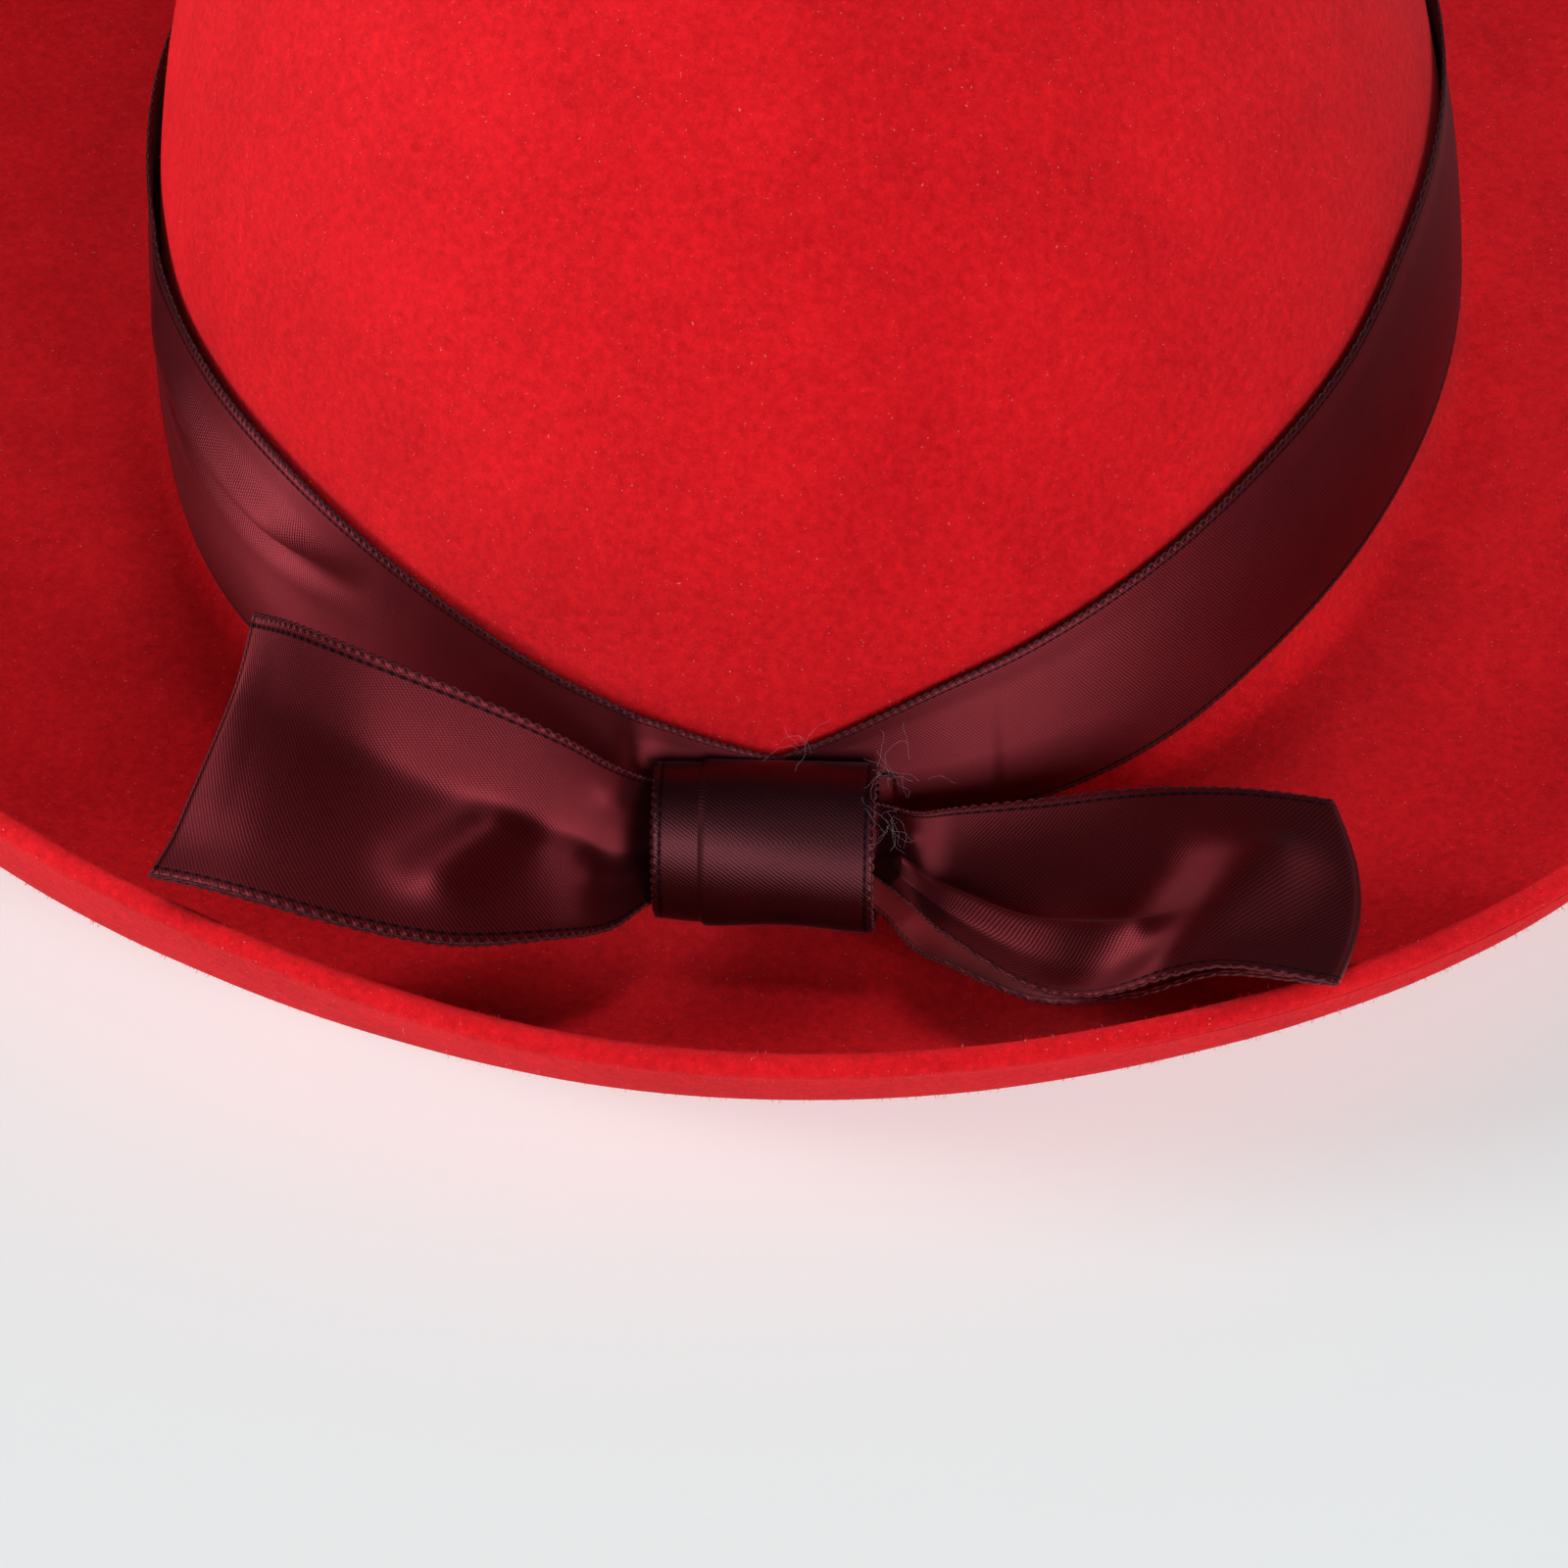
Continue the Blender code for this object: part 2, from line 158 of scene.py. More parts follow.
def crown_spot(turn, height):
    rise = min(max((height - FELT_WALL) / (CROWN_HIGH - FELT_WALL), 0.0), 1.0)
    share = (1 - CROWN_TAPER * rise) * math.sqrt(1 - rise**DOME_POWER)
    hollow = 0.0
    for dent_turn, dent_rise, wide, high, depth in DENTS:
        across = ((turn - dent_turn + 180) % 360 - 180) / wide
        hollow += depth * FELT_WALL * math.exp(-(across**2) - ((rise - dent_rise) / high) ** 2)
    return oval(CROWN_WIDE * share, CROWN_LONG * share, turn, height) - crown_normal(turn) * hollow


def brim_reach(turn):
    a = math.radians(turn)
    return math.hypot(BRIM_SIDE * math.sin(a), BRIM_FRONT * math.cos(a))


def brim_spot(turn, out, height):
    share = out / brim_reach(turn)
    return oval(CROWN_WIDE + BRIM_SIDE * share, CROWN_LONG + BRIM_FRONT * share, turn, height)


def curl_ends(turn):
    """The four handles of the curl's curve, as distance out and height."""
    reach = brim_reach(turn)
    flat_end = BREAK_RADIUS + BRIM_FLAT_SHARE * (reach - BREAK_RADIUS)
    rim = RIM_HIGH * round_the_hat(RIM, 1, turn)
    lean = 1 / math.tan(math.radians(round_the_hat(RIM, 2, turn)))
    pull = round_the_hat(RIM, 3, turn) * (rim - FELT_WALL)
    start, end = Vector((flat_end, FELT_WALL)), Vector((reach, rim))
    level = start + Vector((CURL_LEVEL_PULL * (reach - flat_end), 0))
    return start, level, end - pull * Vector((lean, 1.0)), end


def on_curve(handles, t):
    a, b, c, d = handles
    return (1 - t) ** 3 * a + 3 * t * (1 - t) ** 2 * b + 3 * t**2 * (1 - t) * c + t**3 * d


print("crown foot:", round(2000 * crown_spot(90, FOOT).x), "mm wide")

# %% [markdown]
# The felt is thick and soft, so its surface is never quite even. A tube of mesh rings is extruded row by
# row, as a hatter would draw a cone of felt, and then each ring is set on the block. Close to the rim the
# felt rolls a little outwards. The wall comes from a Solidify modifier, inward as on the solid, and the cut
# edge of the rim is rounded with a bevel, because felt edges wear round at once.

# %% Draw the felt over the block
FELT_AROUND = 288
CROWN_RINGS, BREAK_RINGS, FLAT_RINGS, CURL_RINGS = 42, 4, 5, 24
RING_STEP = 0.001
# the first ring's distance from the crown's middle in rings, and how the rings crowd towards the top
TOP_RING, TOP_CROWDING = 0.35, 0.85
# where the first ring on the brim's level part lies, and how much of that part the rings take up
LEVEL_FROM, LEVEL_SHARE = 0.06, 0.88
# how far from the rim the edge starts to roll, and how far it rolls out and down
ROLL_REACH, ROLL_OUT, ROLL_DOWN = 0.0065, 0.0013, 0.0005
# how far the felt strays from the block, and the fineness and share of each of its waves
UNEVEN = 0.00030
WAVES = ((38.0, 0.7), (95.0, 0.3))


def deselect_all():
    if bpy.context.mode != "OBJECT":
        bpy.ops.object.mode_set(mode="OBJECT")
    bpy.ops.object.select_all(action="DESELECT")


def pick(piece):
    """Makes one piece the only selected and active one."""
    deselect_all()
    piece.select_set(True)
    bpy.context.view_layer.objects.active = piece


def felt_rows(turn):
    """The felt's upper side at one turn, as spots from the crown's top down and out to the rim."""
    spots = []
    for i in range(CROWN_RINGS):
        rise = math.sin(math.pi / 2 * (1 - (i + TOP_RING) / CROWN_RINGS)) ** TOP_CROWDING
        spots.append(crown_spot(turn, FOOT + (CROWN_HIGH - FOOT) * rise))
    spots.append(crown_spot(turn, FOOT))
    for i in range(1, BREAK_RINGS + 1):
        bend = math.pi / 2 * i / BREAK_RINGS
        height = FOOT - BREAK_RADIUS * math.sin(bend)
        spots.append(brim_spot(turn, BREAK_RADIUS * (1 - math.cos(bend)), height))
    handles = curl_ends(turn)
    for i in range(FLAT_RINGS):
        share = LEVEL_FROM + LEVEL_SHARE * i / (FLAT_RINGS - 1)
        spots.append(brim_spot(turn, BREAK_RADIUS + share * (handles[0].x - BREAK_RADIUS), FELT_WALL))
    for i in range(CURL_RINGS + 1):
        place = on_curve(handles, i / CURL_RINGS)
        roll = max(0.0, 1 - (handles[-1] - place).length / ROLL_REACH) ** 2
        spots.append(brim_spot(turn, place.x + ROLL_OUT * roll, place.y - ROLL_DOWN * roll))
    return spots


deselect_all()
bpy.ops.mesh.primitive_circle_add(vertices=FELT_AROUND, radius=CROWN_WIDE, fill_type="NOTHING")
felt = bpy.context.object
felt.name = felt.data.name = "felt_hat"
ring_count = len(felt_rows(0.0))
bpy.ops.object.mode_set(mode="EDIT")
bpy.ops.mesh.select_all(action="SELECT")
for _ in range(ring_count - 1):
    bpy.ops.mesh.extrude_edges_move(TRANSFORM_OT_translate={"value": (0, 0, -RING_STEP)})
bpy.ops.object.mode_set(mode="OBJECT")

blocked = {}
for point in felt.data.vertices:
    row = round(-point.co.z / RING_STEP)
    turn = round(math.degrees(math.atan2(point.co.x, -point.co.y)), 3)
    if turn not in blocked:
        blocked[turn] = felt_rows(turn)
    spot = blocked[turn][row].copy()
    away = crown_normal(turn) if row <= CROWN_RINGS else Vector((0, 0, 1))
    firm = 0.0 if CROWN_RINGS < row <= CROWN_RINGS + BREAK_RINGS + FLAT_RINGS + 1 else 1.0
    soft = sum(noise.noise(spot * fine) * share for fine, share in WAVES)
    point.co = spot + away * UNEVEN * firm * soft
print("felt rings:", ring_count, "points:", len(felt.data.vertices))

# %% Close the crown, give the felt its wall and round its edge
RIM_ROUND, RIM_STEPS = 0.00135, 6
SHARP_CORNER = math.radians(62)
TOP_HOLE = 0.02
HAIR = 0.00001


def put_in_order(piece):
    """Extruded edges and faces come in another order on each run, so they are sorted by their points."""
    mesh = bmesh.new()
    mesh.from_mesh(piece.data)
    count = len(mesh.verts)

    def order(part):
        number = 0
        for index in sorted(point.index for point in part.verts)[:3]:
            number = number * count + index
        return number

    mesh.edges.sort(key=order)
    mesh.faces.sort(key=order)
    mesh.to_mesh(piece.data)
    mesh.free()


pick(felt)
bpy.ops.object.mode_set(mode="EDIT")
bpy.ops.mesh.select_all(action="DESELECT")
bpy.ops.object.mode_set(mode="OBJECT")
top = max(point.co.z for point in felt.data.vertices)
for point in felt.data.vertices:
    point.select = point.co.z > top - 10 * HAIR and math.hypot(point.co.x, point.co.y) < TOP_HOLE
for edge in felt.data.edges:
    edge.select = all(felt.data.vertices[i].select for i in edge.vertices)
bpy.ops.object.mode_set(mode="EDIT")
bpy.ops.mesh.select_mode(type="EDGE")
bpy.ops.mesh.extrude_edges_move(TRANSFORM_OT_translate={"value": (0, 0, HAIR)})
bpy.ops.mesh.merge(type="CENTER")
bpy.ops.mesh.select_all(action="SELECT")
bpy.ops.mesh.normals_make_consistent(inside=False)
bpy.ops.object.mode_set(mode="OBJECT")
put_in_order(felt)
crown_side = min(felt.data.polygons, key=lambda face: (face.center - Vector((0.08, 0, 0.04))).length)
if crown_side.normal.x < 0:
    felt.data.flip_normals()

wall = felt.modifiers.new("wall", "SOLIDIFY")
wall.thickness, wall.offset = FELT_WALL, -1.0
bpy.ops.object.modifier_apply(modifier=wall.name)

bpy.ops.object.mode_set(mode="EDIT")
bpy.ops.mesh.select_mode(type="EDGE")
bpy.ops.mesh.select_all(action="DESELECT")
bpy.ops.mesh.edges_select_sharp(sharpness=SHARP_CORNER)
bpy.ops.mesh.bevel(offset=RIM_ROUND, segments=RIM_STEPS, profile=0.5, affect="EDGES")
bpy.ops.object.mode_set(mode="OBJECT")
felt.data.shade_smooth()
print("felt faces:", len(felt.data.polygons))

# %% [markdown]
# Each ribbon piece starts as a flat length of ribbon: a grid whose UV map runs along and across it. Its
# points are then laid where the real ribbon goes, so the weave and the stitched edges follow the cloth
# wherever it turns. The UV map is kept in metres, which keeps the weave at one size on every piece.

# %% A length of ribbon
RIBBON_THICK = 0.00042


def lay_ribbon(name, along, across, length, place):
    """Lays a flat grid of ribbon. place gives the spot for a share along and a share across."""
    deselect_all()
    bpy.ops.mesh.primitive_grid_add(x_subdivisions=along, y_subdivisions=across, size=1.0)
    ribbon = bpy.context.object
    ribbon.name = ribbon.data.name = name
    for uv in ribbon.data.uv_layers.active.data:
        uv.uv = (uv.uv[0] * length, uv.uv[1] * RIBBON_WIDE)
    for point in ribbon.data.vertices:
        point.co = place(point.co.x + 0.5, point.co.y + 0.5)
    return ribbon


def give_cloth_a_wall(ribbon, side=0.0):
    pick(ribbon)
    cloth = ribbon.modifiers.new("cloth", "SOLIDIFY")
    cloth.thickness, cloth.offset = RIBBON_THICK, side
    bpy.ops.object.modifier_apply(modifier=cloth.name)
    ribbon.data.shade_smooth()
    print(ribbon.name, "faces:", len(ribbon.data.polygons))


# %% [markdown]
# The band is one length of ribbon round the crown. Its right end starts under the bow, and its left end
# comes back over it, so the upper edges meet in a V. It stands a little off the felt at its upper edge,
# where a thin shadow shows. On the left it has buckled: a crest stands below its upper edge, with a tuck and
# a thin ridge under that.

# %% The ribbon band
# turn, lower edge, upper edge and how far the middle stands off the felt, all in ribbon widths
BAND = (
    (-120, 0.028, 1.017, 0.010),
    (-90, 0.028, 1.011, 0.015),
    (-68, 0.022, 1.005, 0.030),
    (-55, 0.028, 1.042, 0.050),
    (-42, 0.047, 1.024, 0.040),
    (-27, 0.060, 0.891, 0.020),
    (-12, 0.072, 0.690, 0.010),
    (3.4, 0.085, 0.466, 0.000),
    (15, 0.082, 0.674, 0.010),
    (23, 0.041, 0.762, 0.015),
    (35, 0.057, 0.894, 0.020),
    (46, 0.129, 1.002, 0.020),
    (58, 0.176, 1.083, 0.020),
    (70, 0.205, 1.187, 0.015),
    (90, 0.198, 1.194, 0.010),
    (120, 0.148, 1.143, 0.010),
    (180, 0.054, 1.049, 0.010),
)
TOPS = {row[0]: row[2] for row in BAND}
# the band's ends, and how fast the upper edge of each end falls past the seam
BAND_FROM, BAND_TO, SEAM_TURN = -7.0, 372.0, 3.4
LEFT_FALL, RIGHT_FALL = 0.0146, 0.0179
# the lower edge near the bow: its height, its rise at the seam and how far round that reaches
FRONT_FROM, FRONT_LOW, SEAM_RISE, SEAM_REACH = 20, 0.06, 0.025, 15


def band_edges(turn):
    """The band's lower and upper edge. Past the seam each end keeps falling under the bow."""
    if FRONT_FROM < turn % 360 < 360 - FRONT_FROM:
        return round_the_hat(BAND, 1, turn), round_the_hat(BAND, 2, turn)
    near = (turn + 180) % 360 - 180
    lower = FRONT_LOW + SEAM_RISE * math.exp(-((near - SEAM_TURN) / SEAM_REACH) ** 2)
    if turn > 180 and near > SEAM_TURN:
        return lower, TOPS[SEAM_TURN] - LEFT_FALL * (near - SEAM_TURN)
    if turn < 180 and near < SEAM_TURN:
        return lower, TOPS[SEAM_TURN] - RIGHT_FALL * (SEAM_TURN - near)
    places = (-42, -27, -12, SEAM_TURN) if near < SEAM_TURN else (SEAM_TURN, 15, 23, 35)
    return lower, eased(places, [TOPS[p] for p in places], near)


# turn and the share up the band where the tuck of the left side's crease runs
TUCK_LINE = ((-72, 0.84), (-60, 0.72), (-47, 0.66), (-36, 0.69), (-29, 0.78))
# the crease's crest, tuck and thin ridge: share above the tuck's line, half width, metres off the felt
CREASE = ((0.100, 0.075, 0.0024), (0.0, 0.050, -0.0012), (-0.100, 0.045, 0.0004))
CREASE_BELLY = 0.0006
# the turns over which the crease grows, and over which it fades
CREASE_GROWS, CREASE_FADES = (-74, -62), (-44, -32)


def buckle(turn, across):
    """How far the left side's crease stands off the felt, in metres."""
    near = (turn + 180) % 360 - 180
    strength = smooth_step(*CREASE_GROWS, near) * (1 - smooth_step(*CREASE_FADES, near))
    line = eased(*zip(*TUCK_LINE), near)
    folds = sum(high * math.exp(-(((across - line - above) / wide) ** 2)) for above, wide, high in CREASE)
    return strength * (folds + CREASE_BELLY * math.sin(math.pi * across))


BAND_LENGTH = 0.613
BAND_STAND, BAND_LAP, BAND_FLARE = 0.0007, 0.0007, 0.0008
# a small pinch at the left of the bow: turn, share up, half widths of both, metres
PINCH_TURN, PINCH_UP, PINCH_WIDE, PINCH_LONG, PINCH_HIGH = 352, 0.6, 1.3, 0.35, 0.0009


def band_spot(along, across):
    turn = BAND_FROM + (BAND_TO - BAND_FROM) * along
    lower, upper = band_edges(turn)
    height = FOOT + RIBBON_WIDE * (lower + (upper - lower) * across)
    belly = RIBBON_WIDE * round_the_hat(BAND, 3, turn) * math.sin(math.pi * across)
    lap = BAND_LAP * smooth_step(PINCH_TURN - 22, PINCH_TURN, turn)
    flare = BAND_FLARE * smooth_step(0.80, 1.0, across)
    stand = BAND_STAND + belly + lap + flare + buckle(turn, across)
    from_pinch = ((turn - PINCH_TURN) / PINCH_WIDE) ** 2 + ((across - PINCH_UP) / PINCH_LONG) ** 2
    pinch = PINCH_HIGH * math.exp(-from_pinch)
    return crown_spot(turn, height) + crown_normal(turn) * (stand + pinch)


band = lay_ribbon("satin_band", 760, 44, BAND_LENGTH, band_spot)
give_cloth_a_wall(band)

# %% [markdown]
# The knot of the bow is a short length of the same ribbon wrapped round the loops. It is turned round an
# oval that leans back with the crown. A pleat runs down it near its left side, and its lower edge sags.

# %% The knot
KNOT_WIDE, KNOT_HALF_HIGH, KNOT_HALF_DEEP = 0.0250, 0.0090, 0.0055
KNOT_LIFT, KNOT_TILT, BOW_SHIFT = 0.0143, math.radians(46.0), 0.0032
KNOT_TWIST, KNOT_LENGTH = math.radians(16.0), 0.047
RIBBON_GAP, SOLID_RIBBON = 0.00035, 0.0010
# where across the knot its twist is nought, and how much thinner its middle is
TWIST_MIDDLE, KNOT_WAIST = 0.45, 0.10
# the cloth lies this far inside the solid's face, and the pleat stands up by as much, from here to here
PLEAT_HIGH, PLEAT_FROM, PLEAT_TO = 0.0004, 0.214, 0.228
# the lower edge's sag: its wave, how many half waves fit across, and its slant
SAG_WAVE, SAG_BEATS, SAG_SLANT = 0.03, 2.5, 0.05
long_way = Vector((0, math.cos(KNOT_TILT), math.sin(KNOT_TILT)))
short_way = Vector((0, -math.sin(KNOT_TILT), math.cos(KNOT_TILT)))


def bow_middle():
    """Where the knot's oval just clears the band on the crown's front."""
    back_long, back_short = KNOT_HALF_HIGH * long_way.y, KNOT_HALF_DEEP * short_way.y
    reach = math.hypot(back_long, back_short)
    rise = (KNOT_HALF_HIGH * back_long * long_way.z + KNOT_HALF_DEEP * back_short * short_way.z) / reach
    face = crown_spot(0, KNOT_LIFT + rise).y - RIBBON_GAP - SOLID_RIBBON
    return Vector((BOW_SHIFT, face - RIBBON_GAP - reach, KNOT_LIFT))


BOW = bow_middle()


def knot_spot(along, across):
    turn = 2 * math.pi * along
    twist = KNOT_TILT - KNOT_TWIST * (across - TWIST_MIDDLE)
    long_side = Vector((0, math.cos(twist), math.sin(twist)))
    short_side = Vector((0, -math.sin(twist), math.cos(twist)))
    pleat = PLEAT_HIGH * smooth_step(PLEAT_FROM, PLEAT_TO, across)
    underside = max(0.0, -math.sin(turn))
    sag = 1 + underside * (SAG_WAVE * math.sin(SAG_BEATS * math.pi * across) + SAG_SLANT * across)
    high = (KNOT_HALF_HIGH - PLEAT_HIGH) * sag + pleat
    deep = (KNOT_HALF_DEEP - PLEAT_HIGH) * (1 - KNOT_WAIST * math.sin(math.pi * across)) + pleat
    side = Vector((KNOT_WIDE * (across - 0.5), 0, 0))
    return BOW + side + long_side * high * math.sin(turn) + short_side * deep * math.cos(turn)


knot = lay_ribbon("satin_knot", 150, 100, KNOT_LENGTH, knot_spot)
pick(knot)
bpy.ops.object.mode_set(mode="EDIT")
bpy.ops.mesh.select_all(action="SELECT")
bpy.ops.mesh.remove_doubles(threshold=2 * HAIR)
bpy.ops.object.mode_set(mode="OBJECT")
give_cloth_a_wall(knot, -1.0)

# %% [markdown]
# Each loop is one length of ribbon: out along its rear layer, round the fold at its end, and back to the
# knot along its front layer. The tables follow the solids. The knot pinches a loop, so its layers fall into
# a valley that starts there and widens towards the fold, and a few ridges fan out beside it. Tables of their
# own hold the valley and the ridges, which are added to the solids' smooth layers.

# %% The loops' tables
# from inside the knot to the fold, in ribbon widths: out, back and up of the top edge, the same of the low
# edge, the gap behind each, the slip of the rear layer, bulge, pleat and the fold's belly
LOOP_LEFT = (
    (0.252, 0.122, 0.167, 0.252, -0.156, -0.134, 0.057, 0.057, 0.000, 0.050, 0.000, 0.000),
    (0.397, 0.124, 0.169, 0.397, -0.165, -0.143, 0.057, 0.057, 0.000, 0.050, 0.010, 0.000),
    (0.542, 0.082, 0.290, 0.542, -0.343, -0.101, 0.090, 0.090, 0.000, 0.050, 0.030, 0.000),
    (0.731, 0.066, 0.460, 0.731, -0.476, -0.013, 0.126, 0.126, 0.000, 0.050, 0.030, 0.000),
    (1.046, 0.044, 0.687, 1.046, -0.658, 0.145, 0.140, 0.140, 0.000, 0.050, 0.020, 0.000),
    (1.361, 0.006, 0.904, 1.361, -0.769, 0.325, 0.120, 0.120, 0.000, 0.030, 0.010, 0.000),
    (1.575, -0.047, 1.083, 1.707, -0.857, 0.545, 0.090, 0.090, 0.000, 0.015, 0.000, 0.000),
    (1.704, -0.094, 1.187, 1.994, -0.907, 0.690, 0.070, 0.070, 0.000, 0.000, 0.000, 0.000),
)
LOOP_RIGHT = (
    (0.252, 0.062, 0.137, 0.252, -0.131, -0.027, 0.079, 0.082, 0.107, 0.020, 0.000, 0.000),
    (0.397, 0.066, 0.140, 0.397, -0.135, -0.020, 0.079, 0.085, 0.110, 0.020, 0.000, 0.000),
    (0.545, 0.019, 0.148, 0.545, -0.328, 0.038, 0.085, 0.142, 0.095, 0.020, 0.020, 0.000),
    (0.687, 0.047, 0.148, 0.687, -0.469, 0.025, 0.090, 0.132, 0.041, 0.040, 0.030, 0.000),
    (1.002, 0.088, 0.164, 1.002, -0.746, 0.069, 0.090, 0.128, -0.039, 0.050, 0.020, 0.000),
    (1.317, 0.113, 0.200, 1.317, -0.870, 0.190, 0.085, 0.100, -0.057, 0.040, 0.000, 0.000),
    (1.631, 0.082, 0.250, 1.631, -0.885, 0.320, 0.080, 0.072, -0.038, 0.020, 0.000, 0.020),
    (2.003, 0.028, 0.285, 2.003, -0.932, 0.345, 0.075, 0.072, -0.038, 0.000, 0.000, 0.085),
)
# the valley that each front layer falls into, from the knot to the fold: shares out and down, then its
# depth below the straight layer and the softness of its bottom, in millimetres
VALLEY_LEFT = (
    (0.00, 0.60, 0.3, 1.0),
    (0.13, 0.58, 1.8, 0.8),
    (0.33, 0.51, 4.6, 1.0),
    (0.53, 0.43, 7.0, 1.6),
    (0.64, 0.385, 7.4, 2.2),
    (0.76, 0.335, 7.0, 2.8),
    (0.90, 0.29, 5.4, 3.6),
    (1.00, 0.27, 3.8, 4.5),
)
VALLEY_RIGHT = (
    (0.00, 0.55, 0.3, 1.0),
    (0.20, 0.55, 1.5, 1.2),
    (0.35, 0.54, 3.0, 1.4),
    (0.53, 0.52, 3.8, 1.6),
    (0.70, 0.50, 2.6, 3.0),
    (0.85, 0.50, 1.2, 5.0),
    (1.00, 0.50, 0.0, 6.0),
)
# ridges on the front layer: start and end as shares out and down, half width there and height, in mm
RIDGES_LEFT = (
    (0.53, 0.50, 0.60, 0.72, 2.6, 3.6, 2.2),
    (0.40, 0.58, 0.36, 0.84, 3.0, 4.6, 0.8),
    (0.34, 0.66, 0.06, 0.78, 2.2, 1.4, 0.4),
    (0.30, 0.25, 0.05, 0.35, 2.4, 1.2, 0.4),
)
RIDGES_RIGHT = (
    (0.76, 0.99, 0.90, 0.38, 3.4, 4.4, 2.4),
    (0.64, 0.95, 0.78, 0.35, 3.6, 4.6, -1.2),
    (0.25, 0.62, 0.72, 0.67, 1.9, 3.0, 3.4),
    (0.26, 0.22, 0.06, 0.40, 2.0, 1.2, 0.4),
)
print("ridges:", len(RIDGES_LEFT), "left,", len(RIDGES_RIGHT), "right")

# %% Where a loop's ribbon runs
LOOP_ROWS = 7
LAYER_LONG, RIBBON_MM = 56.0, RIBBON_WIDE * 1000
LOOP_CLEARANCE = 0.0012
# the grid on which a loop is lifted off the felt, and how often the lifts are eased
GRID_ROWS, GRID_CELLS, LIFT_EASING = 14, 6, 8
HALVINGS, CURL_STEPS = 24, 8


def layer_swell(table, row, down):
    """How far a layer rounds out between its edges, in ribbon widths."""
    bulge, pleat = (eased(range(LOOP_ROWS + 1), [line[k] for line in table], row) for k in (9, 10))
    return bulge * math.sin(math.pi * down) + pleat * math.sin(3 * math.pi * down)


def layer_spot(table, side, row, down, layer):
    """A spot on the front layer (1) or the rear one (-1), row rows out and a share down."""
    places = list(range(LOOP_ROWS + 1))
    v = [eased(places, column, row) for column in zip(*table)]
    upper, lower = Vector((side * v[0], v[1], v[2])), Vector((side * v[3], v[4], v[5]))
    across = Vector((0, upper.y - lower.y, upper.z - lower.z)).normalized()
    facing = Vector((0, -across.z, across.y))
    if layer < 0:
        upper, lower = upper - facing * v[6], lower - facing * v[7] - across * v[8]
    spot = upper.lerp(lower, down) + facing * layer * layer_swell(table, row, down)
    spot.x += side * v[11] * math.sin(math.pi * down)
    return BOW + spot * RIBBON_WIDE, facing


def felt_top(spot):
    """The height of the felt under a spot over the brim, or 0 past the rim."""
    near, far = 0.0, 2.0
    for _ in range(HALVINGS):
        share = (near + far) / 2
        x, y = spot.x / (CROWN_WIDE + BRIM_SIDE * share), spot.y / (CROWN_LONG + BRIM_FRONT * share)
        near, far = (near, share) if math.hypot(x, y) < 1 else (share, far)
    turn = math.degrees(math.atan2(x, -y))
    out = share * brim_reach(turn)
    curl = [on_curve(curl_ends(turn), i / CURL_STEPS) for i in range(CURL_STEPS + 1)]
    if out > curl[-1].x + FELT_WALL + LOOP_CLEARANCE:
        return 0.0
    out = min(max(out + LOOP_CLEARANCE, curl[0].x), curl[-1].x)
    i = max(k for k in range(CURL_STEPS) if curl[k].x <= out)
    return curl[i].lerp(curl[i + 1], min((out - curl[i].x) / (curl[i + 1].x - curl[i].x), 1.0)).y


def lift_grid(table, side):
    """How far each part of a loop is lifted to lie on the felt, eased along the loop."""
    lifts = []
    for i in range(GRID_ROWS + 1):
        line = []
        for j in range(GRID_CELLS + 1):
            both = [layer_spot(table, side, i / 2, j / GRID_CELLS, layer)[0] for layer in (1, -1)]
            line.append(max(0.0, *(felt_top(spot) + LOOP_CLEARANCE - spot.z for spot in both)))
        lifts.append(line)
    for _ in range(LIFT_EASING):
        for before, here, after in zip(lifts, lifts[1:], lifts[2:] + lifts[-1:]):
            for j in range(GRID_CELLS + 1):
                here[j] = max(here[j], (before[j] + after[j]) / 2)
    return lifts


def lift_at(lifts, row, down):
    columns = [eased(range(GRID_ROWS + 1), column, row * 2) for column in zip(*lifts)]
    return eased(range(GRID_CELLS + 1), columns, down * GRID_CELLS)


def valley_height(valley, out, down):
    """The valley's shape: straight flanks from both edges to a soft bottom, in metres."""
    columns = list(zip(*valley))
    line, depth, soft = (eased(columns[0], column, out) for column in columns[1:])
    bent = math.hypot((down - line) * RIBBON_MM, soft) - soft
    reach = math.hypot((line if down < line else 1 - line) * RIBBON_MM, soft) - soft
    return -depth * (1 - bent / reach) / 1000


def ridge_height(ridges, out, down):
    """The sum of the ridges, in metres."""
    height = 0.0
    here = Vector((out * LAYER_LONG, down * RIBBON_MM))
    for out0, down0, out1, down1, wide0, wide1, high in ridges:
        start = Vector((out0 * LAYER_LONG, down0 * RIBBON_MM))
        line = Vector((out1 * LAYER_LONG, down1 * RIBBON_MM)) - start
        held = min(max((here - start).dot(line) / line.length_squared, 0.0), 1.0)
        away = (here - start - line * held).length / (wide0 + (wide1 - wide0) * held)
        height += high * math.exp(-away * away)
    return height / 1000


print("the felt under the knot is", round(1000 * felt_top(BOW), 1), "mm high")

# %% [markdown]
# A loop's ribbon is laid like the band, with its share along the ribbon going out on the rear layer, round
# the fold, and home on the front one. The ridges fade out at the fold and inside the knot. Both layers sink
# into the valley, the rear one less deep until they meet at the fold. The front layer starts to roll back a
# little before that, and the fold is one curve that leaves both layers without a kink.

# %% The two loops
LOOP_LENGTH = 0.125
LOOP_CELLS_LONG, LOOP_CELLS_WIDE = 340, 48
# the valley and the ridges grow over these shares out from the knot
PINCHED = (0.02, 0.16)
REAR_SINK, REAR_CATCHES_UP = 0.6, (0.75, 1.0)
RIDGES_FADE = (0.92, 1.0)
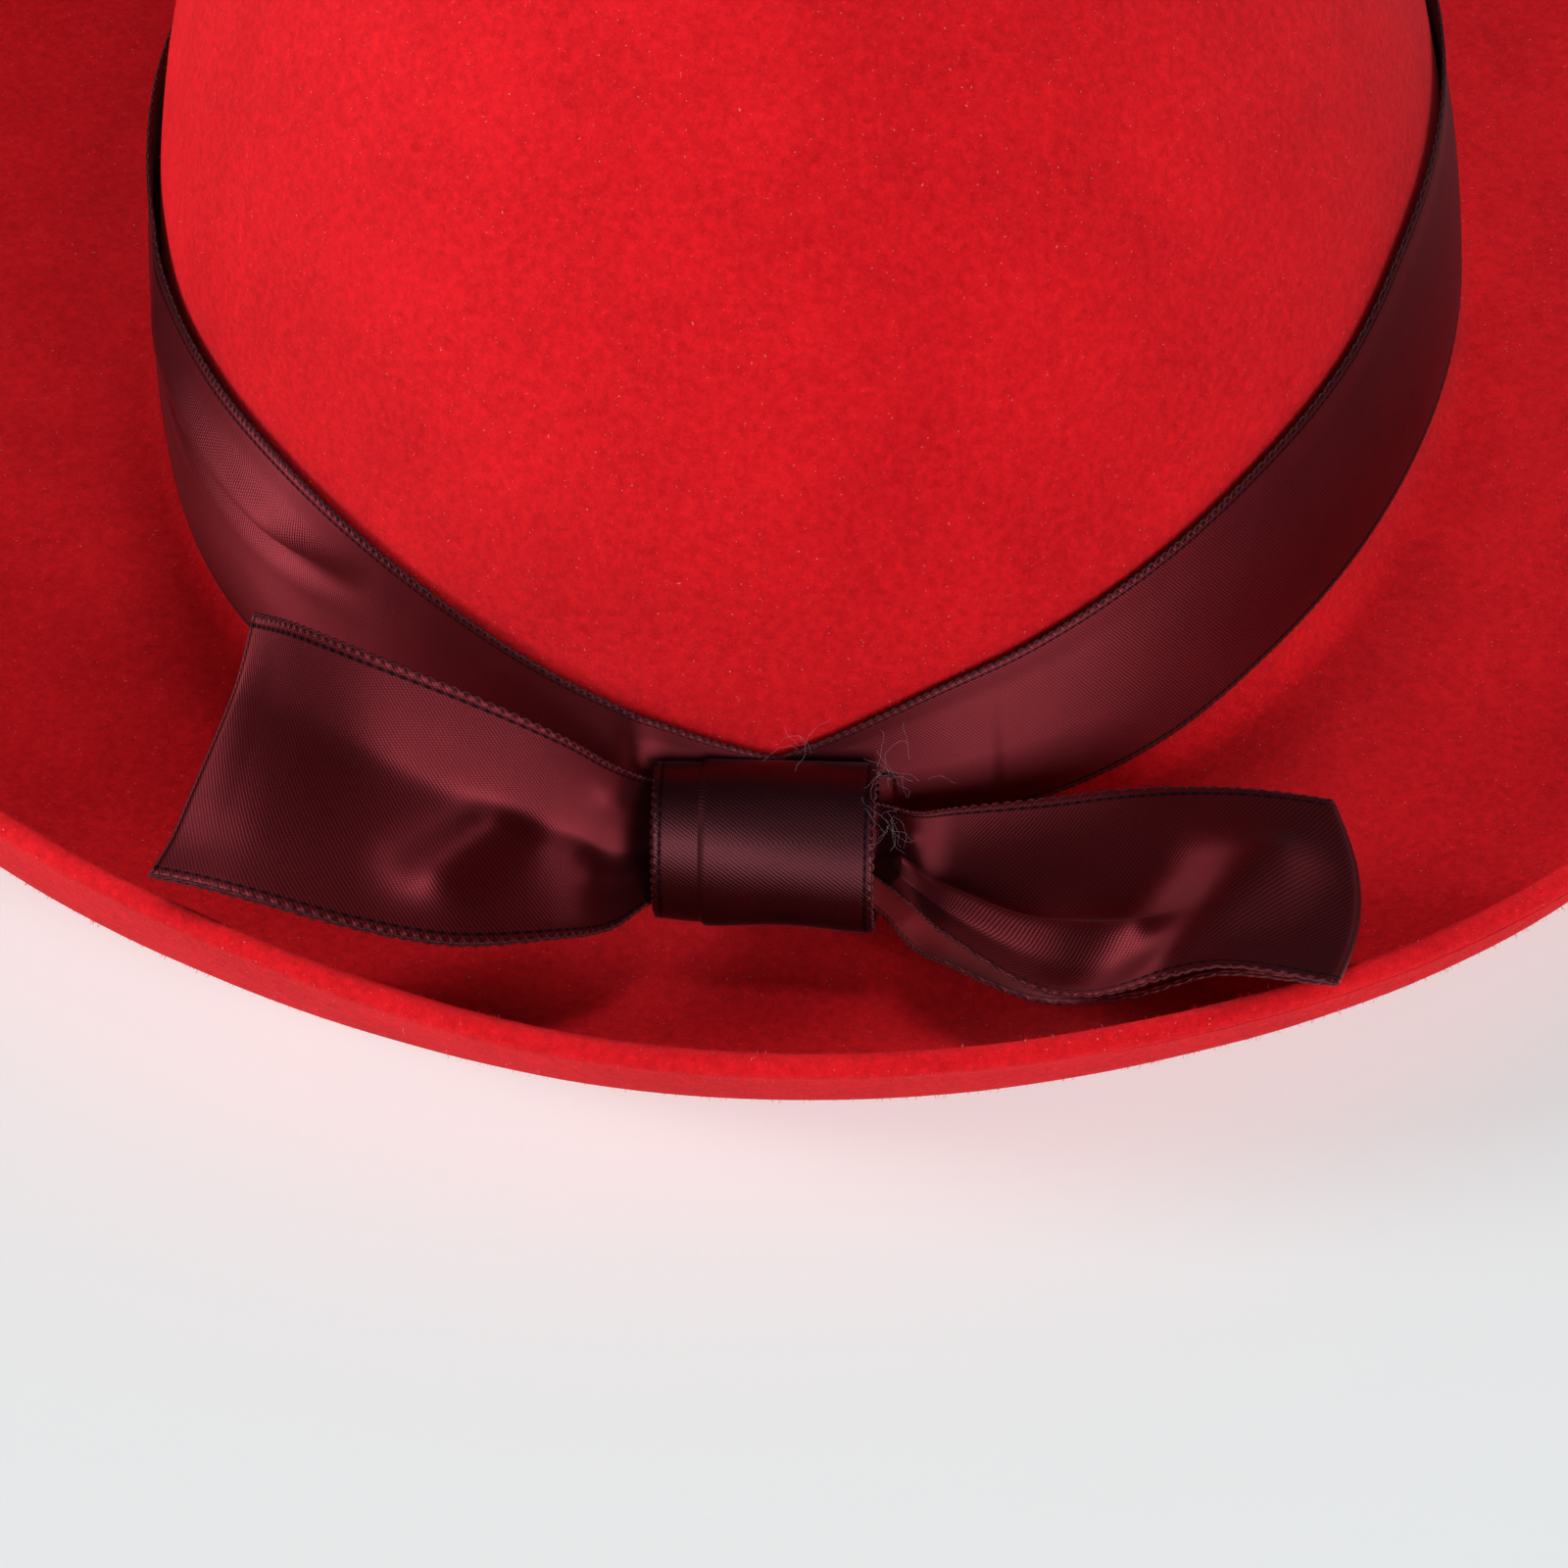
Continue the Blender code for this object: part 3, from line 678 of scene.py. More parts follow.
# what is left of a ridge at the ribbon's edge, and how wide the strip is where it sinks to that
EDGE_RELIEF, EDGE_STRIP = 0.3, 0.12
# the fold: its share of the ribbon, how far round it bends, and the rows that give the way into it
FOLD_SHARE, FOLD_BEND, FOLD_ROWS = 0.035, 0.62, 0.1
# where the front layer starts to roll back before the fold, and how deep
ROLL_FROM, FOLD_ROLL = 0.86, 0.0008


def mark_the_reverse(loop):
    """Gives the loop's inner side the second finish. The two sides are the first two lots of faces."""
    lot = LOOP_CELLS_LONG * LOOP_CELLS_WIDE
    faces = loop.data.polygons
    on_front_layer = faces[lot // 2 + LOOP_CELLS_LONG * 3 // 4]
    first = lot if on_front_layer.normal.dot(Vector((0, -1, 1))) > 0 else 0
    faces.foreach_set("material_index", [int(first <= i < first + lot) for i in range(len(faces))])


def make_loop(name, table, valley, ridges, side):
    lifts = lift_grid(table, side)

    def spot_at(row, down, layer):
        spot, facing = layer_spot(table, side, row, down, layer)
        out = row / LOOP_ROWS
        sunk = valley_height(valley, out, down) * smooth_step(*PINCHED, out)
        if layer < 0:
            spot += facing * sunk * (REAR_SINK + (1 - REAR_SINK) * smooth_step(*REAR_CATCHES_UP, out))
        else:
            fade = smooth_step(*PINCHED, out) * (1 - smooth_step(*RIDGES_FADE, out))
            inside = smooth_step(0.0, EDGE_STRIP, down) * (1 - smooth_step(1 - EDGE_STRIP, 1.0, down))
            relief = ridge_height(ridges, out, down) * (EDGE_RELIEF + (1 - EDGE_RELIEF) * inside)
            flat = layer_swell(table, row, down) * RIBBON_WIDE
            spot += facing * (sunk + (relief - flat) * fade)
            spot -= facing * FOLD_ROLL * (max(0.0, out - ROLL_FROM) / (1 - ROLL_FROM)) ** 2
        spot.z += lift_at(lifts, row, down)
        return spot

    def place(along, across):
        down = 1 - across
        flat = 0.5 - FOLD_SHARE / 2
        if along < flat:
            return spot_at(LOOP_ROWS * along / flat, down, -1)
        if along > 1 - flat:
            return spot_at(LOOP_ROWS * (1 - along) / flat, down, 1)
        ends = [spot_at(LOOP_ROWS, down, layer) for layer in (-1, 1)]
        before = [spot_at(LOOP_ROWS - FOLD_ROWS, down, layer) for layer in (-1, 1)]
        ways = [end - spot for end, spot in zip(ends, before)]
        reach = FOLD_BEND * (ends[1] - ends[0]).length
        bent = [end + way.normalized() * reach for end, way in zip(ends, ways)]
        return on_curve((ends[0], *bent, ends[1]), (along - flat) / FOLD_SHARE)

    loop = lay_ribbon(name, LOOP_CELLS_LONG, LOOP_CELLS_WIDE, LOOP_LENGTH, place)
    give_cloth_a_wall(loop)
    mark_the_reverse(loop)
    return loop, place


loop_left, left_place = make_loop("satin_loop_left", LOOP_LEFT, VALLEY_LEFT, RIDGES_LEFT, -1)
loop_right, right_place = make_loop("satin_loop_right", LOOP_RIGHT, VALLEY_RIGHT, RIDGES_RIGHT, 1)

# %% [markdown]
# The ribbon's edges are finished with picots: the weft thread turns round outside the last warp thread and
# stands out as a row of tiny loops, one each millimetre. They are real thread here, because they break up
# the outline of the bow. One curve runs along each edge in small scallops, and becomes a thin tube.

# %% The picots
PICOT_PITCH = 0.00105
PICOT_REACH, PICOT_THREAD, PICOT_SWAY = 0.00036, 0.00018, 0.00008
PICOT_STEPS = 6
# the step to each side, as a share of the ribbon's length, that gives the way along it
A_BIT = 0.001


def run_thread(name, lines, radius, closed=False):
    """A piece made of thin four-sided tubes, one along each line of points."""
    path = bpy.data.curves.new(name, "CURVE")
    path.dimensions = "3D"
    path.bevel_depth, path.bevel_resolution, path.use_fill_caps = radius, 0, not closed
    for line in lines:
        spline = path.splines.new("POLY")
        spline.points.add(len(line) - 1)
        spline.use_cyclic_u = closed
        for point, spot in zip(spline.points, line):
            point.co = (*spot, 1.0)
    thread = bpy.data.objects.new(name, path)
    bpy.context.scene.collection.objects.link(thread)
    pick(thread)
    bpy.ops.object.convert(target="MESH")
    thread.data.name = name
    thread.data.shade_smooth()
    print(name, "faces:", len(thread.data.polygons))
    return thread


def sew_picots(name, place, length, closed=False):
    count = round(length / PICOT_PITCH) * PICOT_STEPS
    lines = []
    for edge, inside in ((0.0, 0.03), (1.0, 0.97)):
        line = []
        for i in range(count if closed else count + 1):
            along = i / count
            spot = place(along, edge)
            outwards = (spot - place(along, inside)).normalized()
            onwards = place(min(along + A_BIT, 1.0), edge) - place(max(along - A_BIT, 0.0), edge)
            facing = onwards.cross(outwards).normalized()
            beat = math.pi * i / PICOT_STEPS
            stand = PICOT_REACH * abs(math.sin(beat)) - PICOT_THREAD
            line.append(spot + outwards * stand + facing * PICOT_SWAY * math.cos(beat))
        lines.append(line)
    return run_thread(name, lines, PICOT_THREAD, closed)


def wall_middle(along, across):
    """The middle of the knot's cloth, which lies inside its outer face."""
    spot, inner = knot_spot(along, across), BOW + Vector((KNOT_WIDE * (across - 0.5), 0, 0))
    return spot + (inner - spot).normalized() * RIBBON_THICK / 2


band_picots = sew_picots("picots_band", band_spot, BAND_LENGTH)
left_picots = sew_picots("picots_loop_left", left_place, LOOP_LENGTH)
right_picots = sew_picots("picots_loop_right", right_place, LOOP_LENGTH)
knot_picots = sew_picots("picots_knot", wall_middle, KNOT_LENGTH, closed=True)

# %% [markdown]
# The ribbon's cut ends under the bow have frayed, and dusty fluff has caught between the knot, the V and the
# right loop. It is a tangle of very fine filaments. Each one is a short walk whose direction drifts, started
# near one of a few spots.

# %% Frayed filaments
FRAY_THREAD, FRAY_STEP, FRAY_STEPS, FRAY_DRIFT = 0.000009, 0.00024, 20, 0.20
fray_chance = random.Random(7)
# where a tangle sits, from the bow's middle in mm, how far it spreads, and how many filaments it has
TANGLES = (
    ((13.5, 0.5, 11.5), 1.3, 9),
    ((14.5, -3.4, 7.0), 1.4, 12),
    ((4.5, 1.2, 14.6), 1.4, 5),
    ((18.0, 1.0, 9.5), 1.5, 3),
)


def stray(chance, spread):
    return Vector([chance.gauss(0, spread) for _ in range(3)])


def filament(spot, spread):
    here = BOW + Vector(spot) / 1000 + stray(fray_chance, spread / 2000)
    way = [fray_chance.gauss(middle, wide) for middle, wide in ((0, 1), (-0.2, 0.5), (0, 1))]
    line, way = [here], Vector(way).normalized()
    for _ in range(FRAY_STEPS):
        way = (way + stray(fray_chance, FRAY_DRIFT)).normalized()
        line.append(line[-1] + way * FRAY_STEP)
    return line


tangled = [filament(spot, spread) for spot, spread, count in TANGLES for _ in range(count)]
frays = run_thread("frayed_threads", tangled, FRAY_THREAD)

# %% [markdown]
# Wool felt has a nap of short loose fibres. On the flat of the felt it only softens the look, but along the
# rim and the crown's outline single fibres stand against what is behind them. They are thin bent slivers,
# three triangles each, scattered over the felt with more of them along the rim.

# %% The felt's nap
NAP_COUNT, RIM_NAP_COUNT = 9000, 20000
FIBRE_LONG, FIBRE_WIDE, RIM_FIBRE_WIDE = 0.0009, 0.000016, 0.000024
FIBRE_ROOT, FIBRE_BEND = 0.0001, 0.16
# a sliver's middle and tip, as shares of its length up from the felt and along it
MIDDLE_UP, MIDDLE_ALONG, TIP_UP, TIP_ALONG = 0.38, 0.30, (0.35, 0.3), 0.85
SHORTEST, LONGER = 0.35, 0.9
RIM_FROM, LOWEST_NAP = 0.96, 0.004
# a face belongs to the hat's outside if it looks up at all, or lies out past this oval
LOOKS_UP, OUTSIDE_OVAL = 0.02, (0.13, 0.14)
chance = random.Random(41)


def scatter_fibres(name, faces, count, long, wide):
    """Slivers of fibre on the given faces, each bent over to one side, with its own shade."""
    areas = [face.area for face in faces]
    points, slivers, shades = [], [], []
    for face in chance.choices(faces, weights=areas, k=count):
        corners = [felt.data.vertices[i].co for i in face.vertices]
        one_side = corners[0].lerp(corners[1], chance.random())
        root = one_side.lerp(corners[-2].lerp(corners[-1], chance.random()), chance.random())
        normal = face.normal
        lie = stray(chance, 1).cross(normal).normalized()
        length = long * (SHORTEST + LONGER * chance.random() ** 2)
        edge = normal.cross(lie) * wide
        bend = stray(chance, FIBRE_BEND) * length
        middle = root + normal * length * MIDDLE_UP + lie * length * MIDDLE_ALONG
        tip_up = TIP_UP[0] + TIP_UP[1] * chance.random()
        tip = root + normal * length * tip_up + lie * length * TIP_ALONG + bend
        below = root - normal * FIBRE_ROOT
        first = len(points)
        points += [below - edge, below + edge, middle - edge, middle + edge, tip]
        slivers += [(first, first + 1, first + 3, first + 2), (first + 2, first + 3, first + 4)]
        shades += [chance.random()] * 5
    mesh = bpy.data.meshes.new(name)
    mesh.from_pydata([tuple(p) for p in points], [], slivers)
    shade = mesh.attributes.new("fibre_shade", "FLOAT", "POINT")
    shade.data.foreach_set("value", shades)
    nap = bpy.data.objects.new(name, mesh)
    bpy.context.scene.collection.objects.link(nap)
    print(name, "fibres:", count)
    return nap


def past(face, wide, long):
    """How far out a face lies, as a share of an oval's half width and half length."""
    return math.hypot(face.center.x / wide, face.center.y / long)


def is_outer(face):
    outside = face.normal.z > LOOKS_UP or past(face, *OUTSIDE_OVAL) > 1
    return outside and face.center.z > LOWEST_NAP


# sorted by their points, so that the random picks don't hang on how the bevel numbers the faces
in_order = sorted(felt.data.polygons, key=lambda face: sorted(face.vertices))
outer = [face for face in in_order if is_outer(face)]
rim = [face for face in outer if past(face, CROWN_WIDE + BRIM_SIDE, CROWN_LONG + BRIM_FRONT) > RIM_FROM]
nap = scatter_fibres("felt_nap", outer, NAP_COUNT, FIBRE_LONG, FIBRE_WIDE)
rim_nap = scatter_fibres("felt_rim_nap", rim, RIM_NAP_COUNT, FIBRE_LONG, RIM_FIBRE_WIDE)

# %% [markdown]
# Materials. First a shared group for woven satin. It reads the ribbon's own UV map, in metres, and gives a
# fine diagonal of warp floats, a stitched groove just inside each edge, and the beat of the picots on it.
# It puts out three masks and a height only, and each ribbon material keeps its own shader.

# %% Helpers for node materials
def new_group(name, inputs, outputs):
    group = bpy.data.node_groups.new(name, "ShaderNodeTree")
    for socket_name, kind, value in inputs:
        socket = group.interface.new_socket(socket_name, in_out="INPUT", socket_type=kind)
        if value is not None:
            socket.default_value = value
    for socket_name in outputs:
        group.interface.new_socket(socket_name, in_out="OUTPUT", socket_type="NodeSocketFloat")
    return group, group.nodes.new("NodeGroupInput"), group.nodes.new("NodeGroupOutput")


def put_out(group, out, values):
    for value, socket in zip(values, out.inputs):
        group.links.new(value, socket)


def new_material(name):
    material = bpy.data.materials.new(name)
    material.use_nodes = True
    return material, material.node_tree, material.node_tree.nodes["Principled BSDF"]


def set_inputs(node, values):
    for socket_name, value in values.items():
        node.inputs[socket_name].default_value = value


def object_place(tree):
    return tree.nodes.new("ShaderNodeTexCoord").outputs["Object"]


def use_group(tree, group, value):
    """A node that runs a shared group, with one value linked to its first input."""
    node = tree.nodes.new("ShaderNodeGroup")
    node.node_tree = group
    tree.links.new(value, node.inputs[0])
    return node


def add_bump(tree, shader, height, strength, distance):
    bump = tree.nodes.new("ShaderNodeBump")
    set_inputs(bump, {"Strength": strength, "Distance": distance})
    tree.links.new(height, bump.inputs["Height"])
    tree.links.new(bump.outputs[0], shader.inputs["Normal"])


def sum_up(tree, operation, a, b=None, c=None, clamp=False):
    """One math node. Its inputs are sockets or numbers."""
    node = tree.nodes.new("ShaderNodeMath")
    node.operation, node.use_clamp = operation, clamp
    for socket, value in zip(node.inputs, (a, b, c)):
        if value is None:
            continue
        if isinstance(value, (int, float)):
            socket.default_value = value
        else:
            tree.links.new(value, socket)
    return node.outputs[0]


def rise_between(tree, value, low, high, kind="LINEAR"):
    """0 below the low limit, 1 above the high one."""
    node = tree.nodes.new("ShaderNodeMapRange")
    node.interpolation_type = kind
    set_inputs(node, {"From Min": low, "From Max": high})
    tree.links.new(value, node.inputs["Value"])
    return node.outputs[0]


def band_pass(tree, value, low, high, soft):
    """1 where a value lies between two limits, with soft borders."""
    rise = rise_between(tree, value, low - soft, low + soft, "SMOOTHSTEP")
    fall = rise_between(tree, value, high + soft, high - soft, "SMOOTHSTEP")
    return sum_up(tree, "MULTIPLY", rise, fall)


def wave(tree, value, pitch):
    return sum_up(tree, "SINE", sum_up(tree, "MULTIPLY", value, 2 * math.pi / pitch))


def noise_of(tree, vector, scale, detail, rough=0.55, distortion=0.0):
    node = tree.nodes.new("ShaderNodeTexNoise")
    set_inputs(node, {"Scale": scale, "Detail": detail, "Roughness": rough, "Distortion": distortion})
    tree.links.new(vector, node.inputs["Vector"])
    return node.outputs[0]


def blend_colours(tree, share, first, second):
    node = tree.nodes.new("ShaderNodeMix")
    node.data_type = "RGBA"
    tree.links.new(share, node.inputs[0])
    for socket, value in ((node.inputs[6], first), (node.inputs[7], second)):
        if isinstance(value, tuple):
            socket.default_value = (*value, 1.0)
        else:
            tree.links.new(value, socket)
    return node.outputs[2]


# %% The shared satin weave
# the twill's lines: their pitch and slant, how far they wobble, and how fine the wobble is
TWILL_PITCH, TWILL_SLANT, TWILL_WOBBLE, WOBBLE_FINE = 0.00040, 0.55, 0.00022, 900.0
# the floats that cross them: their pitch as a share of the twill's, their slant and their strength
FLOAT_PITCH, FLOAT_SLANT, FLOAT_STRENGTH = 0.72, -0.4, 0.5
# how far from the edge the stitched groove and the picots lie, and how soft their borders are
GROOVE, PICOT, SOFT_BORDER = (0.00075, 0.00120), (-0.001, 0.00042), 0.00012
GROOVE_BEAT = 0.45
# how much the weave, the groove and the picots add to the height
WEAVE_HIGH, GROOVE_HIGH, PICOT_HIGH = 0.30, -1.0, 0.8


def make_weave():
    group, given, out = new_group(
        "satin_weave",
        [("Along and Across", "NodeSocketVector", None), ("Width", "NodeSocketFloat", RIBBON_WIDE)],
        ("Weave", "Groove", "Picot", "Height"),
    )
    split = group.nodes.new("ShaderNodeSeparateXYZ")
    group.links.new(given.outputs[0], split.inputs[0])
    along, across = split.outputs[0], split.outputs[1]
    wobble = noise_of(group, given.outputs[0], WOBBLE_FINE, 2.0)
    wobbled = sum_up(group, "MULTIPLY_ADD", wobble, TWILL_WOBBLE, along)
    stripes = wave(group, sum_up(group, "MULTIPLY_ADD", across, TWILL_SLANT, wobbled), TWILL_PITCH)
    cross = sum_up(group, "MULTIPLY_ADD", wobbled, FLOAT_SLANT, across)
    floats = wave(group, cross, TWILL_PITCH * FLOAT_PITCH)
    both = sum_up(group, "MULTIPLY_ADD", floats, FLOAT_STRENGTH, stripes)
    weave = sum_up(group, "MULTIPLY_ADD", both, 0.33, 0.5, clamp=True)
    half = sum_up(group, "MULTIPLY", given.outputs[1], 0.5)
    off_middle = sum_up(group, "ABSOLUTE", sum_up(group, "SUBTRACT", across, half))
    from_edge = sum_up(group, "SUBTRACT", half, off_middle)
    beat = sum_up(group, "MULTIPLY_ADD", wave(group, along, PICOT_PITCH), 0.5, 0.5)
    stitches = sum_up(group, "MULTIPLY_ADD", beat, GROOVE_BEAT, 1 - GROOVE_BEAT)
    groove = sum_up(group, "MULTIPLY", band_pass(group, from_edge, *GROOVE, SOFT_BORDER), stitches)
    picot = sum_up(group, "MULTIPLY", band_pass(group, from_edge, *PICOT, SOFT_BORDER), beat)
    height = sum_up(group, "MULTIPLY", weave, WEAVE_HIGH)
    height = sum_up(group, "MULTIPLY_ADD", groove, GROOVE_HIGH, height)
    height = sum_up(group, "MULTIPLY_ADD", picot, PICOT_HIGH, height)
    put_out(group, out, (weave, groove, picot, height))
    return group


weave_group = make_weave()
print("group:", weave_group.name)

# %% [markdown]
# Satin's long floats all lie along the ribbon, so it shines as brushed metal does: a highlight spreads
# across the ribbon and stays narrow along it, and the cloth goes almost black where it turns away. A
# metallic shader with strong anisotropy does that. Its tangent comes from the UV map, so the highlight
# follows the cloth. Each piece's colours are painted light and shade: each is set darker or lighter as it
# lies lit or in shade. Inside the loops the ribbon's reverse shows, whose short floats are duller and
# redder, so they have a second material.

# %% The satin materials
GROOVE_DARK, SHEEN = (0.012, 0.006, 0.010), (0.80, 0.35, 0.45, 1.0)


def make_satin(name, dark, light, edge, roughness, seed, metal=0.90):
    material, tree, shader = new_material(name)
    weave = use_group(tree, weave_group, tree.nodes.new("ShaderNodeUVMap").outputs[0])
    shift = tree.nodes.new("ShaderNodeMapping")
    set_inputs(shift, {"Location": (seed, 0, 0)})
    tree.links.new(object_place(tree), shift.inputs[0])
    clouds = sum_up(tree, "MULTIPLY", noise_of(tree, shift.outputs[0], 120.0, 3.0), 0.25)
    share = sum_up(tree, "MULTIPLY_ADD", weave.outputs["Weave"], 0.75, clouds, clamp=True)
    colour = blend_colours(tree, share, dark, light)
    colour = blend_colours(tree, weave.outputs["Groove"], colour, GROOVE_DARK)
    colour = blend_colours(tree, sum_up(tree, "MULTIPLY", weave.outputs["Picot"], 0.7), colour, edge)
    tree.links.new(colour, shader.inputs["Base Color"])
    rough = sum_up(tree, "MULTIPLY_ADD", weave.outputs["Groove"], 0.25, roughness)
    tree.links.new(rough, shader.inputs["Roughness"])
    set_inputs(shader, {"Metallic": metal, "Specular IOR Level": 0.25})
    set_inputs(shader, {"Anisotropic": 0.85, "Anisotropic Rotation": 0.25})
    set_inputs(shader, {"Sheen Weight": 0.06, "Sheen Roughness": 0.35, "Sheen Tint": SHEEN})
    lengthwise = tree.nodes.new("ShaderNodeTangent")
    lengthwise.direction_type = "UV_MAP"
    tree.links.new(lengthwise.outputs[0], shader.inputs["Tangent"])
    add_bump(tree, shader, weave.outputs["Height"], 0.5, 0.00012)
    return material


# piece, darkest and lightest colour, the colour of its edge, roughness, and where its clouds start
# the colours differ between pieces as painted light and shade: each piece is darker or lighter as it lies
# lit or in shade
SATINS = (
    (band, (0.070, 0.010, 0.013), (0.310, 0.036, 0.049), (0.030, 0.012, 0.016), 0.51, 0.0),
    (knot, (0.026, 0.007, 0.009), (0.112, 0.024, 0.031), (0.100, 0.024, 0.030), 0.49, 1.3),
    (loop_left, (0.036, 0.006, 0.008), (0.255, 0.029, 0.039), (0.090, 0.020, 0.026), 0.48, 2.1),
    (loop_right, (0.040, 0.007, 0.009), (0.215, 0.025, 0.033), (0.090, 0.020, 0.026), 0.50, 3.7),
)
REVERSE_DARK, REVERSE_LIGHT = (0.130, 0.012, 0.015), (0.520, 0.045, 0.055)
for piece, *finish in SATINS:
    piece.data.materials.append(make_satin("burgundy_" + piece.name, *finish))
for piece, _, _, edge, _, seed in SATINS[2:]:
    reverse = make_satin("reverse_" + piece.name, REVERSE_DARK, REVERSE_LIGHT, edge, 0.7, seed, metal=0.1)
    piece.data.materials.append(reverse)
print("satins:", [finish.name for row in SATINS for finish in row[0].data.materials])

# %% [markdown]
# The picots are single twisted threads, duller than the floats of the satin. The band's are the darkest,
# which is painted shade, as they lie close to the felt. The frayed filaments are pale and dusty.

# %% Thread materials
def make_thread(name, dark, light):
    material, tree, shader = new_material(name)
    strands = noise_of(tree, object_place(tree), 2600.0, 2.0)
    tree.links.new(blend_colours(tree, strands, dark, light), shader.inputs["Base Color"])
    set_inputs(shader, {"Roughness": 0.5, "Specular IOR Level": 0.12})
    return material


THREADS = (
    # the band's picots are darker as painted shade of the felt beside them
    (band_picots, (0.012, 0.006, 0.008), (0.075, 0.022, 0.028)),
    (left_picots, (0.022, 0.005, 0.007), (0.120, 0.020, 0.026)),
    (right_picots, (0.024, 0.005, 0.007), (0.140, 0.022, 0.028)),
    (knot_picots, (0.030, 0.006, 0.008), (0.180, 0.030, 0.038)),
    (frays, (0.16, 0.14, 0.18), (0.46, 0.42, 0.48)),
)
for piece, dark, light in THREADS:
    piece.data.materials.append(make_thread("thread_of_" + piece.name, dark, light))
print("thread materials:", len(THREADS))

# %% [markdown]
# The felt is a bright, slightly bluish red. Its dye takes unevenly, so it is mottled at three scales: broad
# clouds, patches of a few millimetres, and the fibres themselves. A group holds that, because the loose
# fibres of the nap use the same dye as the felt they grow from. Light sinks a little way into the felt and
# comes out red, so its shader has some subsurface scattering, which softens every shade on it.

# %% The shared felt dye
def make_dye():
    group, given, out = new_group(
        "felt_dye", [("Place", "NodeSocketVector", None)], ("Shade", "Fleck", "Height")
    )
    broad = noise_of(group, given.outputs[0], 60.0, 2.0)
    patches = noise_of(group, given.outputs[0], 900.0, 2.0, 0.6)
    fibres = noise_of(group, given.outputs[0], 3200.0, 3.0, 0.65, 0.8)
    specks = noise_of(group, given.outputs[0], 2600.0, 1.0)
    shade = sum_up(group, "MULTIPLY", broad, 0.25)
    shade = sum_up(group, "MULTIPLY_ADD", patches, 0.40, shade)
    shade = sum_up(group, "MULTIPLY_ADD", fibres, 0.35, shade)
    shade = rise_between(group, shade, 0.36, 0.64)
    fleck = rise_between(group, specks, 0.735, 0.80)
    height = sum_up(group, "MULTIPLY_ADD", patches, 0.8, fibres)
    put_out(group, out, (shade, fleck, height))
    return group


dye_group = make_dye()
PALE_FIBRE, PALE_FLECK = (0.85, 0.35, 0.33), (0.80, 0.25, 0.25)
SCATTER_RADIUS, FELT_SHEEN = (1.0, 0.12, 0.10), (1.0, 0.25, 0.28, 1.0)


def make_felt(name, dark, light, is_nap):
    material, tree, shader = new_material(name)
    dye = use_group(tree, dye_group, object_place(tree))
    colour = blend_colours(tree, dye.outputs["Shade"], dark, light)
    if is_nap:
        own = tree.nodes.new("ShaderNodeAttribute")
        own.attribute_name = "fibre_shade"
        pale = sum_up(tree, "MULTIPLY", band_pass(tree, own.outputs["Fac"], 0.965, 2.0, 0.01), 0.55)
        colour = blend_colours(tree, pale, colour, PALE_FIBRE)
    else:
        flecked = sum_up(tree, "MULTIPLY", dye.outputs["Fleck"], 0.6)
        colour = blend_colours(tree, flecked, colour, PALE_FLECK)
        add_bump(tree, shader, dye.outputs["Height"], 0.55, 0.00035)
        shader.subsurface_method = "BURLEY"
        set_inputs(shader, {"Subsurface Weight": 0.45, "Subsurface Scale": 0.0030})
        set_inputs(shader, {"Subsurface Radius": SCATTER_RADIUS})
    tree.links.new(colour, shader.inputs["Base Color"])
    set_inputs(shader, {"Roughness": 0.95, "Specular IOR Level": 0.04})
    set_inputs(shader, {"Sheen Weight": 0.10, "Sheen Roughness": 0.6, "Sheen Tint": FELT_SHEEN})
    return material


FELT_DARK, FELT_LIGHT = (0.46, 0.0045, 0.0085), (0.74, 0.0100, 0.0160)
FIBRE_DARK, FIBRE_LIGHT = (0.55, 0.006, 0.010), (0.80, 0.016, 0.022)
felt.data.materials.append(make_felt("red_felt", FELT_DARK, FELT_LIGHT, False))
for piece in (nap, rim_nap):
    piece.data.materials.append(make_felt("red_fibre_" + piece.name, FIBRE_DARK, FIBRE_LIGHT, True))
print("materials:", len(bpy.data.materials))

# %% [markdown]
# Every piece rides on the hat's one body, and the five main ones stand for their solids, which are hidden.

# %% Tie the pieces to the body and hide the solids
PIECES = (
    (felt, "felt_body", "felt"),
    (band, "ribbon_band", "ribbon"),
    (loop_left, "bow_loop_left", "ribbon"),
    (loop_right, "bow_loop_right", "ribbon"),
    (knot, "bow_knot", "ribbon"),
)
for piece, node, slot in PIECES:
    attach(piece, "root")
    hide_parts(node)
for piece in (nap, rim_nap):
    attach(piece, "root")
for piece in (band_picots, left_picots, right_picots, knot_picots, frays):
    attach(piece, "root")


print("tied:", [piece.name for piece, _, _ in PIECES])

